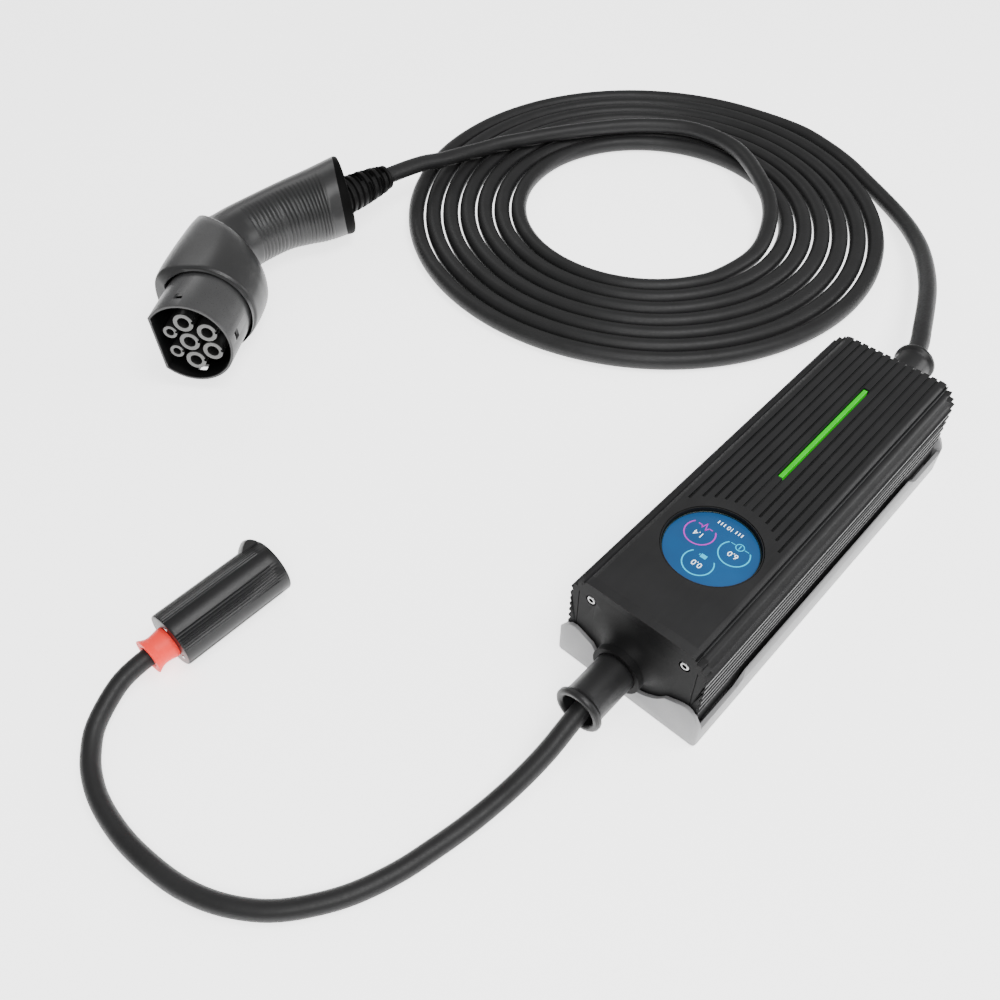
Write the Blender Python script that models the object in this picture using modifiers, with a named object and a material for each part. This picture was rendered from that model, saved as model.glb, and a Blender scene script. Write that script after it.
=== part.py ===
"""Portable EV charger: a finned control box in a folded wall bracket, a coiled vehicle cable with its
connector, and a short supply lead with a round coupler.

Metres, +Z up. The control box lies along Y, its supply end at -Y and its vehicle end at +Y. The origin is
on the surface that everything lies on, under the middle of the bracket.
"""

import math

import bmesh
import bpy
from mathutils import Matrix, Vector

# Clearances
GAP = 0.0003            # between two pieces that touch
MERGE = 0.00001         # points closer than this are one
OVERLAP = 0.0010        # how far a cutter or a joined piece runs past the face it meets
SMOOTH_ANGLE = math.radians(32)
FLAT_ANGLE = math.radians(0.1)

# Wall bracket
SHEET = 0.0021
BRACKET_SIDE_GAP = 0.0015       # between the box and the side flanges
BRACKET_END_GAP = 0.0002        # between the longer end of the box and the end flange
BRACKET_CORNER = 0.0022         # outside radius of the folds
SIDE_FLANGE_LOW = 0.0165        # side flange height near its ends
SIDE_FLANGE_HIGH = 0.0215       # and along its middle
SIDE_STEP_START = 0.0330        # distance from the end where the flange starts to rise
SIDE_STEP_END = 0.0410
END_EAR_HEIGHT = 0.0285
END_EAR_INSET = 0.0097          # distance of the ear's top from the bracket's side
END_EAR_SHOULDER = 0.0175       # height of the end flange at its outer corner
SADDLE_RADIUS = 0.0257          # arc round the cable boss
SADDLE_TOP = 0.0240             # height at which the arc ends
BRACKET_HOLE = 0.0055           # wall screw holes in the base
BRACKET_HOLE_X = 0.0250
BRACKET_HOLE_Y = 0.0900

# Control box
BOX_HALF_WIDTH = 0.0394
BOX_BOTTOM = SHEET + GAP
BOX_TOP = 0.0660
BOX_FRONT = -0.1227             # outer face of the front cap
BOX_REAR = 0.1200               # outer face of the rear cap
CAP_THICKNESS = 0.0037
GASKET_THICKNESS = 0.0008
GASKET_WIDTH = 0.0016
GASKET_INSET = 0.0022
WALL = 0.0034
ROOF = 0.0045
FLOOR = 0.0031
CORNER_FINS = (                 # inset from the side and drop from the top of each corner fin's points
    (0.0104, 0.0000), (0.0082, 0.0006), (0.0077, 0.0015), (0.0069, 0.0011), (0.0060, 0.0032),
    (0.0039, 0.0034), (0.0028, 0.0060), (0.0014, 0.0072), (0.0009, 0.0094), (0.0000, 0.0104),
)
SIDE_RIBS = 13
RIB_PITCH = 0.00235
RIB_DEPTH = 0.00045
RIB_TOP_DROP = 0.0122           # first rib's distance below the top
LOWER_CHAMFER_WIDTH = 0.0064
LOWER_CHAMFER_HEIGHT = 0.0116
SCREW_INSET = 0.0124            # screws, in from the box's side
SCREW_DROP = 0.0113             # upper screws below the top
SCREW_BOSS = 0.0038             # radius of the screw channels inside the housing
SCREW_HEAD = 0.0024
SCREW_SHANK = 0.00145
SCREW_HEAD_HEIGHT = 0.0009
SCREW_LENGTH = 0.0140
SCREW_RECESS = 0.0012
SCREW_RECESS_RADIUS = 0.0031
CAP_LINE_INSET = 0.0052         # fine line down each side of the cap, in from the box's side
CAP_LINE_WIDTH = 0.0004
CAP_LINE_LOW = -0.0100          # its ends, from the cable's axis
CAP_LINE_HIGH = 0.0190
PCB_LEDGE = 0.0025
PCB_HEIGHT = 0.0245
PCB_THICKNESS = 0.0016
PCB_FRONT_GAP = 0.0117          # between the box's ends and the main board
PCB_REAR_GAP = 0.0090
TERMINAL_WIDTH = 0.0300
TERMINAL_LENGTH = 0.0140
TERMINAL_HEIGHT = 0.0170
TERMINAL_INSET = 0.0110         # terminal blocks, in from the board's ends
SENSOR_RADIUS = 0.0140
SENSOR_BORE = 0.0080
SENSOR_HEIGHT = 0.0100
CAPACITOR_RADIUS = 0.0080
CAPACITOR_HEIGHT = 0.0220

# Grooves, display and light bar in the top
GROOVE_PITCH = 0.00475
GROOVE_WIDTH = 0.0014
GROOVE_DEPTH = 0.0013
DISPLAY_FROM_FRONT = 0.0580     # display's centre, from the front cap's face
DISPLAY_RADIUS = 0.0245         # window and panel
DISPLAY_RECESS = 0.0253
DISPLAY_LAND = 0.0316           # the grooves stay this far from the display's centre
DISPLAY_LEDGE = 0.0032          # width of the ledge that the panel rests on
WINDOW_DROP = 0.0030            # window face below the top
WINDOW_THICKNESS = 0.0012
PANEL_THICKNESS = 0.0010
DISPLAY_BOSS_DEPTH = 0.0030
DISPLAY_BOARD_GAP = 0.0012      # between the display's board and the screw channels
LIGHT_WIDTH = 0.0035
LIGHT_FROM_DISPLAY = 0.0612
LIGHT_FROM_REAR = 0.0345
LIGHT_DROP = 0.0003
LIGHT_BOARD_WIDTH = 0.0120

# Cable bosses and sleeves
CABLE_Z = 0.0370                # height of both cables' axes at the box
BOSS_BASE_RADIUS = 0.0245
BOSS_NECK_RADIUS = 0.0136
BOSS_LENGTH = 0.0133
BOSS_RING = 0.0038              # length of the ring at the boss's neck
BOSS_STEP = 0.0009
SLEEVE_SEAT = 0.0092            # the sleeve's root, out from the cap's face
SLEEVE_LENGTH = 0.0423          # from the cap's face to the mouth
SLEEVE_RADIUS = 0.0105
LIP_RADIUS = 0.0126
LIP_LENGTH = 0.0040
SLEEVE_BORE = 0.00875
SLEEVE_BORE_DEPTH = 0.0185
SLEEVE_CONE = 0.0060
CONDUCTOR_RADIUS = 0.0030

# Cables
SUPPLY_CABLE = 0.0098
VEHICLE_CABLE = 0.0120
COIL_CENTRE = (-0.2500, 0.2240)
COIL_INNER = 0.0865
COIL_OUTER = 0.1860
COIL_EDGE = 0.0035
CABLE_STEP = 2.4                # points along a cable, in cable diameters

# Vehicle connector, in its own frame: X across, Y to its flat side, Z out of its face
CONNECTOR_PLACE = (-0.3439, -0.1291, 0.0368)
CONNECTOR_HEADING = math.radians(-54.46)    # where its face looks, in plan
CONNECTOR_PITCH = math.radians(3.35)
CONNECTOR_ROLL = math.radians(4.93)
SHROUD_RADIUS = 0.0284
SHROUD_FLAT = 0.0212
SHROUD_WALL = 0.0020
SHROUD_DEPTH = 0.0500
CARRIER_BASE = 0.0060
TOWER_DROP = 0.0020             # tower tips behind the shroud's rim
POWER_TOWER = 0.0064
POWER_BORE = 0.0034
SIGNAL_TOWER = 0.0045
SIGNAL_BORE = 0.00235
POLES = {                       # place of each pole, across and towards the flat side
    "earth": (0.0, 0.0), "line_1": (-0.0141, 0.0), "neutral": (0.0141, 0.0),
    "line_2": (-0.0069, -0.0134), "line_3": (0.0069, -0.0134),
    "pilot": (0.00725, 0.0107), "proximity": (-0.00725, 0.0107),
}
SIGNAL_POLES = ("pilot", "proximity")
POLE_KEY_WIDTH = 0.0016
POLE_KEY_DEPTH = 0.0060
CONTACT_WALL = 0.0009
CONTACT_DROP = 0.0120           # contact mouth behind the shroud's rim
WINDOW_SLOT = 0.0045
WINDOW_SLOT_DEPTH = 0.0105
WINDOW_SLOT_ANGLES = (3, 177, 270)

# Connector head and handle: stations as distance back, distance down, tilt, half height, half thickness
# and how square the side towards the flat is
HANDLE_WALL = 0.0024
HANDLE_POINTS = 32
HEAD_MOUTH = 0.0350             # the head fits round the shroud from here
HEAD_SEAT = 0.0440              # to here
HEAD_MOUTH_GAP = 0.0006
HANDLE_STATIONS = (
    (0.0395, -0.0008, 0, 0.0326, 0.0312, 3.3),
    (0.0500, -0.0008, 0, 0.0332, 0.0318, 3.3),
    (0.0640, -0.0009, 8, 0.0335, 0.0318, 3.3),
    (0.0780, -0.0012, 20, 0.0349, 0.0310, 3.3),
    (0.0905, -0.0021, 31, 0.0375, 0.0300, 3.1),
    (0.0985, -0.0031, 36, 0.0388, 0.0286, 2.9),
    (0.1055, -0.0092, 38, 0.0300, 0.0250, 2.4),
    (0.1150, -0.0100, 38, 0.0245, 0.0234, 2.1),
    (0.1289, -0.0040, 39, 0.0228, 0.0228, 2.0),
    (0.1503, 0.0128, 43, 0.0230, 0.0230, 2.0),
    (0.1619, 0.0263, 50, 0.0257, 0.0243, 2.0),
    (0.1720, 0.0398, 60, 0.0286, 0.0260, 2.0),
    (0.1857, 0.0534, 71, 0.0312, 0.0275, 2.0),
)
HANDLE_AXIS = 41.5              # the boot's own line, degrees down from the connector's axis
END_CAP_THICKNESS = 0.0075
BOOT_ROOT = 0.0125
BOOT_TIP = 0.0072
BOOT_REACH = 0.0350             # its tip, out from the end cap's face
BOOT_RIBBED = 0.0240            # length of its ribbed part
BOOT_SEAT = 0.0085              # how far its root goes into the end cap
BOOT_RIBS = 6
BOOT_BORE = VEHICLE_CABLE / 2 + GAP
CABLE_IN_BOOT = 0.0060

# Supply coupler, along +Y
COUPLER_PLACE = (-0.1842, -0.2625, 0.0158)
COUPLER_LENGTH = 0.0660
COUPLER_RADIUS = 0.0155
COUPLER_WALL = 0.0022
COUPLER_RIM = 0.0005            # the latch ends this far behind the mouth
COUPLER_POINT_STEP = 6          # degrees between the shell's points
COUPLER_FLUTE_GROUPS = 5        # groups of three flutes round the shell
COUPLER_FLUTE_FIRST = 72        # angle of one group's middle
COUPLER_FLUTE_PITCH = 12        # degrees between the flutes of a group
COUPLER_FLUTE_DEPTH = 0.0006
COUPLER_COVER = 0.0030
COUPLER_COVER_INSET = 0.0002
COUPLER_SOCKET = 0.0200
COUPLER_PIN = 0.0020
COUPLER_PIN_CIRCLE = 0.0062
COUPLER_PIN_REACH = 0.0110
COUPLER_SCREW = 0.0012
COUPLER_SCREW_LENGTH = 0.0120
CABLE_STRAIGHT = 0.0035         # last straight bit of a cable before its fitting
CABLE_IN_COLLAR = 0.0040
COLLAR_LENGTH = 0.0130
COLLAR_ROOT = 0.0086
COLLAR_WAIST = 0.0079
COLLAR_LIP = 0.0098
LATCH_WIDTH = 0.0080
LATCH_LENGTH = 0.0110
LATCH_HEIGHT = 0.0032
LATCH_ROOT = 0.0010
LATCH_ANGLE = 45
COUPLER_SCREW_CIRCLE = 0.0108
COUPLER_SCREW_ANGLES = (95, 205)

# Routes of the cables where they aren't coiled, chosen by hand
SUPPLY_ROUTE = (
    (0.0000, -0.1430, 0.0370), (0.0002, -0.1560, 0.0354), (0.0000, -0.1680, 0.0320),
    (-0.0004, -0.1830, 0.0258), (-0.0023, -0.1970, 0.0190), (-0.0053, -0.2119, 0.0125),
    (-0.0090, -0.2292, 0.0080), (-0.0132, -0.2465, 0.0057), (-0.0174, -0.2630, 0.0050),
    (-0.0258, -0.2845, 0.0050), (-0.0370, -0.3020, 0.0050), (-0.0460, -0.3122, 0.0050),
    (-0.0563, -0.3202, 0.0050), (-0.0685, -0.3270, 0.0050), (-0.0835, -0.3323, 0.0050),
    (-0.1015, -0.3354, 0.0050), (-0.1219, -0.3364, 0.0050), (-0.1440, -0.3336, 0.0050),
    (-0.1590, -0.3280, 0.0054), (-0.1677, -0.3222, 0.0060), (-0.1750, -0.3150, 0.0075),
    (-0.1815, -0.3018, 0.0106), (-0.1842, -0.2910, 0.0135),
)
REAR_ROUTE = (
    (0.0000, 0.1420, 0.0370), (-0.0008, 0.1540, 0.0370), (-0.0032, 0.1680, 0.0367),
    (-0.0068, 0.1820, 0.0360), (-0.0122, 0.1965, 0.0349), (-0.0208, 0.2200, 0.0320),
    (-0.0314, 0.2467, 0.0280), (-0.0447, 0.2743, 0.0230), (-0.0615, 0.3030, 0.0174),
    (-0.0815, 0.3290, 0.0120), (-0.0965, 0.3445, 0.0088), (-0.1088, 0.3548, 0.0072),
)
TAIL_ROUTE = (
    (-0.1774, 0.2834, 0.0184), (-0.1986, 0.3023, 0.0183), (-0.2169, 0.3176, 0.0183),
    (-0.2366, 0.3287, 0.0183), (-0.2575, 0.3330, 0.0183), (-0.2754, 0.3321, 0.0183),
    (-0.2918, 0.3265, 0.0183), (-0.3184, 0.3063, 0.0183), (-0.3405, 0.2802, 0.0183),
    (-0.3643, 0.2437, 0.0183), (-0.3768, 0.2203, 0.0183), (-0.3849, 0.2047, 0.0183),
    (-0.3908, 0.1870, 0.0183), (-0.3959, 0.1696, 0.0195), (-0.3979, 0.1499, 0.0225),
    (-0.3992, 0.1298, 0.0275),
)

COLOURS = {                     # colour, roughness, metallic
    "housing": ((0.045, 0.046, 0.048), 0.45, 0.6),
    "cap": ((0.050, 0.050, 0.052), 0.55, 0.0),
    "sheet": ((0.62, 0.63, 0.64), 0.35, 0.7),
    "rubber": ((0.030, 0.030, 0.031), 0.75, 0.0),
    "cable": ((0.032, 0.032, 0.033), 0.65, 0.0),
    "steel": ((0.60, 0.60, 0.60), 0.30, 1.0),
    "window": ((0.05, 0.16, 0.36), 0.08, 0.0),
    "light": ((0.05, 0.90, 0.10), 0.30, 0.0),
    "board": ((0.02, 0.20, 0.08), 0.50, 0.0),
    "component": ((0.06, 0.06, 0.07), 0.50, 0.0),
    "brass": ((0.72, 0.53, 0.22), 0.30, 1.0),
    "connector": ((0.070, 0.071, 0.073), 0.50, 0.0),
    "carrier": ((0.22, 0.22, 0.22), 0.50, 0.0),
    "collar": ((0.85, 0.12, 0.10), 0.45, 0.0),
}


def clear_scene():
    for thing in list(bpy.data.objects):
        bpy.data.objects.remove(thing, do_unlink=True)


def new_collection(name):
    collection = bpy.data.collections.new(name)
    bpy.context.scene.collection.children.link(collection)
    return collection


def material(name):
    made = bpy.data.materials.get(name)
    if made:
        return made
    colour, roughness, metallic = COLOURS[name]
    made = bpy.data.materials.new(name)
    made.use_nodes = True
    shader = made.node_tree.nodes["Principled BSDF"]
    shader.inputs["Base Color"].default_value = (*colour, 1.0)
    shader.inputs["Roughness"].default_value = roughness
    shader.inputs["Metallic"].default_value = metallic
    return made


clear_scene()
PARTS = new_collection("portable_ev_charger")
CUTTERS = new_collection("cutters")


def add(name, data, matrix=None):
    """A new object, kept with the cutters until it is finished as a part."""
    thing = bpy.data.objects.new(name, data)
    if matrix is not None:
        thing.matrix_world = matrix
    CUTTERS.objects.link(thing)
    thing.hide_render = True
    thing.display_type = "WIRE"
    return thing


def evaluated_mesh(thing):
    bpy.context.view_layer.update()
    depsgraph = bpy.context.evaluated_depsgraph_get()
    return bpy.data.meshes.new_from_object(thing.evaluated_get(depsgraph))


def triangulated(mesh):
    shape = bmesh.new()
    shape.from_mesh(mesh)
    bmesh.ops.triangulate(shape, faces=shape.faces, ngon_method="EAR_CLIP")
    shape.to_mesh(mesh)
    shape.free()
    return mesh


def finish(thing, name, finish_name):
    """Keeps the evaluated shape as the part's own mesh, smooth where it is round."""
    mesh = triangulated(evaluated_mesh(thing))
    thing.modifiers.clear()
    thing.data = mesh
    mesh.name = name
    mesh.materials.clear()
    mesh.materials.append(material(finish_name))
    mesh.shade_smooth()
    mesh.set_sharp_from_angle(angle=SMOOTH_ANGLE)
    thing.name = name
    CUTTERS.objects.unlink(thing)
    PARTS.objects.link(thing)
    thing.hide_render = False
    thing.display_type = "TEXTURED"
    return thing


def weld(mesh):
    """Joins points closer than MERGE, joins faces that lie in one plane, and turns the faces outwards."""
    shape = bmesh.new()
    shape.from_mesh(mesh)
    bmesh.ops.remove_doubles(shape, verts=shape.verts, dist=MERGE)
    bmesh.ops.dissolve_limit(shape, angle_limit=FLAT_ANGLE, verts=shape.verts, edges=shape.edges)
    bmesh.ops.recalc_face_normals(shape, faces=shape.faces)
    shape.to_mesh(mesh)
    shape.free()
    return mesh


def combine(thing, tool, operation):
    step = thing.modifiers.new(operation.lower(), "BOOLEAN")
    step.operation = operation
    step.solver = "EXACT"
    step.object = tool
    mesh = weld(evaluated_mesh(thing))
    thing.modifiers.clear()
    thing.data = mesh
    return thing


def cut(thing, *tools):
    for tool in tools:
        combine(thing, tool, "DIFFERENCE")
    return thing


def join(thing, *tools):
    for tool in tools:
        combine(thing, tool, "UNION")
    return thing


def along(origin, direction, side=(1, 0, 0)):
    """A frame with its Z along direction and its X as near to side as it can be."""
    z = Vector(direction).normalized()
    x = (Vector(side) - z * Vector(side).dot(z)).normalized()
    y = z.cross(x)
    frame = Matrix((x, y, z)).transposed().to_4x4()
    frame.translation = Vector(origin)
    return frame


def mesh_object(name, build, matrix=None):
    mesh = bpy.data.meshes.new(name)
    shape = bmesh.new()
    build(shape)
    shape.to_mesh(mesh)
    shape.free()
    return add(name, mesh, matrix)


def add_box(shape, low, high):
    low, high = Vector(low), Vector(high)
    place = Matrix.Translation((low + high) / 2) @ Matrix.Diagonal((*(high - low), 1.0))
    bmesh.ops.create_cube(shape, size=1.0, matrix=place)


def boxes(name, corners, matrix=None):
    """One object of one or more boxes, each given by its low and high corner."""
    def build(shape):
        for low, high in corners:
            add_box(shape, low, high)
    return mesh_object(name, build, matrix)


def box(name, low, high, matrix=None):
    return boxes(name, [(low, high)], matrix)


def rods(name, places, radius, start, end, matrix=None, segments=16):
    """One object of one or more upright rods, between two heights of the frame it is placed in."""
    def build(shape):
        for x, y in places:
            bmesh.ops.create_cone(
                shape, cap_ends=True, segments=segments, radius1=radius, radius2=radius,
                depth=end - start, matrix=Matrix.Translation((x, y, (start + end) / 2)),
            )
    return mesh_object(name, build, matrix)


def turned(name, profile, matrix, steps=32, closed=False):
    """A turned piece. The profile holds radius and height, and runs down its outer side."""
    mesh = bpy.data.meshes.new(name)
    points = [(radius, 0.0, height) for radius, height in profile]
    edges = [(i, i + 1) for i in range(len(points) - 1)]
    if closed:
        edges.append((len(points) - 1, 0))
    mesh.from_pydata(points, edges, [])
    thing = add(name, mesh, matrix)
    screw = thing.modifiers.new("turn", "SCREW")
    screw.steps = steps
    screw.render_steps = steps
    screw.use_merge_vertices = True
    screw.merge_threshold = MERGE
    screw.use_smooth_shade = True
    return thing


def plate(name, loops, depth, matrix):
    """A flat outline, with any holes as further loops, extruded by depth along its frame's Z."""
    curve = bpy.data.curves.new(name, "CURVE")
    curve.dimensions = "2D"
    curve.fill_mode = "BOTH"
    curve.extrude = depth / 2
    for loop in loops:
        spline = curve.splines.new("POLY")
        spline.points.add(len(loop) - 1)
        for point, (x, y) in zip(spline.points, loop):
            point.co = (x, y, 0.0, 1.0)
        spline.use_cyclic_u = True
    outline = add(name + "_outline", curve, matrix @ Matrix.Translation((0, 0, depth / 2)))
    solid = add(name, weld(evaluated_mesh(outline)), outline.matrix_world.copy())
    bpy.data.objects.remove(outline)
    return solid


def arc(centre, radius, start, end, count):
    """Points along an arc, angles in degrees."""
    angles = [math.radians(start + (end - start) * i / count) for i in range(count + 1)]
    return [(centre[0] + radius * math.cos(a), centre[1] + radius * math.sin(a)) for a in angles]


def mirrored(half):
    """A closed loop from its right half, without points on the middle plane."""
    return half + [(-x, y) for x, y in reversed(half)]


def circle(centre, radius, count):
    """A closed loop, turned half a step so that its points miss the axes."""
    step = 360 / count
    return arc(centre, radius, step / 2, 360 - step / 2, count - 1)


def smooth_route(points, spacing):
    """Evenly spaced points along a smooth curve through the route's own points."""
    points = [Vector(p) for p in points]
    ends = [points[0] * 2 - points[1]] + points + [points[-1] * 2 - points[-2]]
    fine = []
    for a, b, c, d in zip(ends, ends[1:], ends[2:], ends[3:]):
        for i in range(20):
            t = i / 20
            fine.append(0.5 * (2 * b + (c - a) * t + (2 * a - 5 * b + 4 * c - d) * t * t
                               + (3 * b - a - 3 * c + d) * t ** 3))
    fine.append(points[-1])
    lengths = [0.0]
    for p, q in zip(fine, fine[1:]):
        lengths.append(lengths[-1] + (q - p).length)
    count = max(2, round(lengths[-1] / spacing))
    even = []
    k = 0
    for i in range(count + 1):
        goal = lengths[-1] * i / count
        while k < len(fine) - 2 and lengths[k + 1] < goal:
            k += 1
        share = (goal - lengths[k]) / (lengths[k + 1] - lengths[k])
        even.append(fine[k].lerp(fine[k + 1], min(1.0, share)))
    return even


def tube(name, points, radius, sides=2):
    """A round cable or wire through the points, with closed ends."""
    curve = bpy.data.curves.new(name, "CURVE")
    curve.dimensions = "3D"
    curve.bevel_depth = radius
    curve.bevel_resolution = sides
    curve.use_fill_caps = True
    spline = curve.splines.new("POLY")
    spline.points.add(len(points) - 1)
    for point, place in zip(spline.points, points):
        point.co = (*place, 1.0)
    guide = add(name + "_route", curve)
    thing = add(name, weld(evaluated_mesh(guide)), guide.matrix_world.copy())
    bpy.data.objects.remove(guide)
    return thing


# Sizes and places that follow from the others
BRACKET_WIDTH = 2 * (BOX_HALF_WIDTH + BRACKET_SIDE_GAP + SHEET)
BRACKET_LENGTH = 2 * (max(-BOX_FRONT, BOX_REAR) + BRACKET_END_GAP + SHEET)
SCREW_X = BOX_HALF_WIDTH - SCREW_INSET
CAP_LINE_X = BOX_HALF_WIDTH - CAP_LINE_INSET
GROOVES = 2 * int((BOX_HALF_WIDTH - CORNER_FINS[0][0]) / GROOVE_PITCH)
DISPLAY_Y = BOX_FRONT + DISPLAY_FROM_FRONT
LIGHT_START = DISPLAY_Y + LIGHT_FROM_DISPLAY
LIGHT_END = BOX_REAR - LIGHT_FROM_REAR
PCB_START = BOX_FRONT + PCB_FRONT_GAP
PCB_END = BOX_REAR - PCB_REAR_GAP
SUPPLY_TERMINAL_Y = PCB_START + TERMINAL_INSET + TERMINAL_LENGTH / 2
OUTPUT_TERMINAL_Y = PCB_END - TERMINAL_INSET - TERMINAL_LENGTH / 2

# Frames that pieces are built in
SECTION = along((0, 0, 0), (0, -1, 0))              # X across, Y up, Z towards -Y
FRONT = along((0, BOX_FRONT, CABLE_Z), (0, -1, 0))  # Z out of the front cap
REAR = along((0, BOX_REAR, CABLE_Z), (0, 1, 0))     # Z out of the rear cap
HOUSING_FRONT = BOX_FRONT + CAP_THICKNESS + GASKET_THICKNESS + 2 * GAP
HOUSING_REAR = BOX_REAR - CAP_THICKNESS - GASKET_THICKNESS - 2 * GAP
SCREW_HEIGHTS = (BOX_TOP - SCREW_DROP, BOX_BOTTOM + (BOX_TOP - SCREW_DROP - CABLE_Z))
SCREW_PLACES = [(side * SCREW_X, height) for height in SCREW_HEIGHTS for side in (-1, 1)]
ROOF_Z = BOX_TOP - ROOF
FLOOR_Z = BOX_BOTTOM + FLOOR
PCB_TOP = PCB_HEIGHT + PCB_THICKNESS


def box_outline():
    """The finned section of the control box, seen from the front."""
    half = [(BOX_HALF_WIDTH - inset, BOX_TOP - drop) for inset, drop in CORNER_FINS]
    for i in range(SIDE_RIBS):
        z = BOX_TOP - RIB_TOP_DROP - i * RIB_PITCH
        valley = BOX_HALF_WIDTH - RIB_DEPTH
        half.append((valley, z))
        half.append((valley, z - 0.15 * RIB_PITCH))
        half.append((BOX_HALF_WIDTH, z - 0.40 * RIB_PITCH))
        half.append((BOX_HALF_WIDTH, z - 0.90 * RIB_PITCH))
    half.append((BOX_HALF_WIDTH, BOX_BOTTOM + LOWER_CHAMFER_HEIGHT))
    half.append((BOX_HALF_WIDTH - LOWER_CHAMFER_WIDTH, BOX_BOTTOM))
    return mirrored(half)


def cavity_outline():
    """The hollow of the housing, with the four screw channels and the ledges for the main board."""
    side = BOX_HALF_WIDTH - WALL
    upper, lower = SCREW_HEIGHTS
    shelf = 0.0030
    half = [(SCREW_X - SCREW_BOSS, ROOF_Z)]
    half += arc((SCREW_X, upper), SCREW_BOSS, 180, 360, 8)
    half += [(SCREW_X + SCREW_BOSS, upper + shelf), (side - 0.0015, upper + shelf), (side, upper)]
    half += [(side, PCB_HEIGHT - GAP), (side - PCB_LEDGE, PCB_HEIGHT - GAP)]
    half += [(side - PCB_LEDGE, lower - shelf), (SCREW_X + SCREW_BOSS, lower - shelf)]
    half += arc((SCREW_X, lower), SCREW_BOSS, 0, 180, 8)
    half += [(SCREW_X - SCREW_BOSS, FLOOR_Z)]
    return mirrored(half)


def groove_places():
    return [(i - (GROOVES - 1) / 2) * GROOVE_PITCH for i in range(GROOVES)]


def groove_cutter():
    """The grooves in the top, which stop at the land round the display and run out at the rear."""
    corners = []
    for x in groove_places():
        start = DISPLAY_Y + math.sqrt(max(0.0, DISPLAY_LAND ** 2 - x ** 2))
        low = (x - GROOVE_WIDTH / 2, start, BOX_TOP - GROOVE_DEPTH)
        high = (x + GROOVE_WIDTH / 2, BOX_REAR + OVERLAP, BOX_TOP + OVERLAP)
        corners.append((low, high))
    return boxes("groove_cutter", corners)


def display_frame():
    return Matrix.Translation((0, DISPLAY_Y, 0))


def ledge_height():
    return BOX_TOP - WINDOW_DROP - WINDOW_THICKNESS - PANEL_THICKNESS - 2 * GAP


def make_bracket():
    """A tray folded from one sheet, its flanges cut to shape, with four holes for wall screws."""
    half_x, half_y = BRACKET_WIDTH / 2, BRACKET_LENGTH / 2
    top = END_EAR_HEIGHT + OVERLAP
    tray = box("wall_bracket", (-half_x, -half_y, 0), (half_x, half_y, top))
    bevel = tray.modifiers.new("folds", "BEVEL")
    bevel.width = BRACKET_CORNER
    bevel.segments = 3
    bevel.limit_method = "ANGLE"
    inside = box("bracket_inside", (SHEET - half_x, SHEET - half_y, SHEET),
                 (half_x - SHEET, half_y - SHEET, top + OVERLAP))
    step_out, step_in = half_y - SIDE_STEP_START, half_y - SIDE_STEP_END
    reach = half_y + OVERLAP
    side_outline = [
        (-reach, SIDE_FLANGE_LOW), (-step_out, SIDE_FLANGE_LOW), (-step_in, SIDE_FLANGE_HIGH),
        (step_in, SIDE_FLANGE_HIGH), (step_out, SIDE_FLANGE_LOW), (reach, SIDE_FLANGE_LOW),
        (reach, top + OVERLAP), (-reach, top + OVERLAP),
    ]
    clip = half_y - SHEET
    side_outline = [(max(-clip, min(clip, y)), z) for y, z in side_outline]
    across = along((-half_x - OVERLAP, 0, 0), (1, 0, 0), (0, 1, 0))
    side_cut = plate("bracket_side_cut", [side_outline], BRACKET_WIDTH + 2 * OVERLAP, across)
    ear = half_x - END_EAR_INSET
    saddle_end = math.degrees(math.acos((CABLE_Z - SADDLE_TOP) / SADDLE_RADIUS))
    half = arc((0, CABLE_Z), SADDLE_RADIUS, -87, saddle_end - 90, 8)
    half += [(ear - 0.0030, END_EAR_HEIGHT - 0.0008), (ear, END_EAR_HEIGHT)]
    half += [(ear + 0.0030, END_EAR_HEIGHT - 0.0006), (half_x - 0.0035, END_EAR_HEIGHT - 0.0035)]
    half += [(half_x + OVERLAP, END_EAR_SHOULDER), (half_x + OVERLAP, top + OVERLAP)]
    frame = SECTION.copy()
    frame.translation = Vector((0, half_y + OVERLAP, 0))
    end_cut = plate("bracket_end_cut", [mirrored(half)], BRACKET_LENGTH + 2 * OVERLAP, frame)
    places = [(x * BRACKET_HOLE_X, y * BRACKET_HOLE_Y) for x in (-1, 1) for y in (-1, 1)]
    holes = rods("bracket_holes", places, BRACKET_HOLE / 2, -OVERLAP, SHEET + OVERLAP)
    cut(tray, inside, side_cut, end_cut, holes)
    return finish(tray, "wall_bracket", "sheet")


def make_housing():
    frame = SECTION.copy()
    frame.translation = Vector((0, HOUSING_REAR, 0))
    length = HOUSING_REAR - HOUSING_FRONT
    loops = [box_outline(), cavity_outline()]
    loops += [circle(place, SCREW_SHANK + GAP, 8) for place in SCREW_PLACES]
    housing = plate("housing", loops, length, frame)
    boss = rods("display_boss", [(0, 0)], DISPLAY_RECESS + WALL / 2, ROOF_Z - DISPLAY_BOSS_DEPTH,
                ROOF_Z + OVERLAP, display_frame(), 40)
    recess = rods("display_recess", [(0, 0)], DISPLAY_RECESS, ledge_height(), BOX_TOP + OVERLAP,
                  display_frame(), 56)
    well = rods("display_well", [(0, 0)], DISPLAY_RADIUS - DISPLAY_LEDGE, ROOF_Z - 2 * DISPLAY_BOSS_DEPTH,
                BOX_TOP, display_frame(), 32)
    slot_half = LIGHT_WIDTH / 2 + GAP
    slot = box("light_slot", (-slot_half, LIGHT_START - GAP, ROOF_Z - OVERLAP),
               (slot_half, LIGHT_END + GAP, BOX_TOP + OVERLAP))
    join(housing, boss)
    cut(housing, recess, well, slot, groove_cutter())
    return finish(housing, "housing", "housing")


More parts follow.
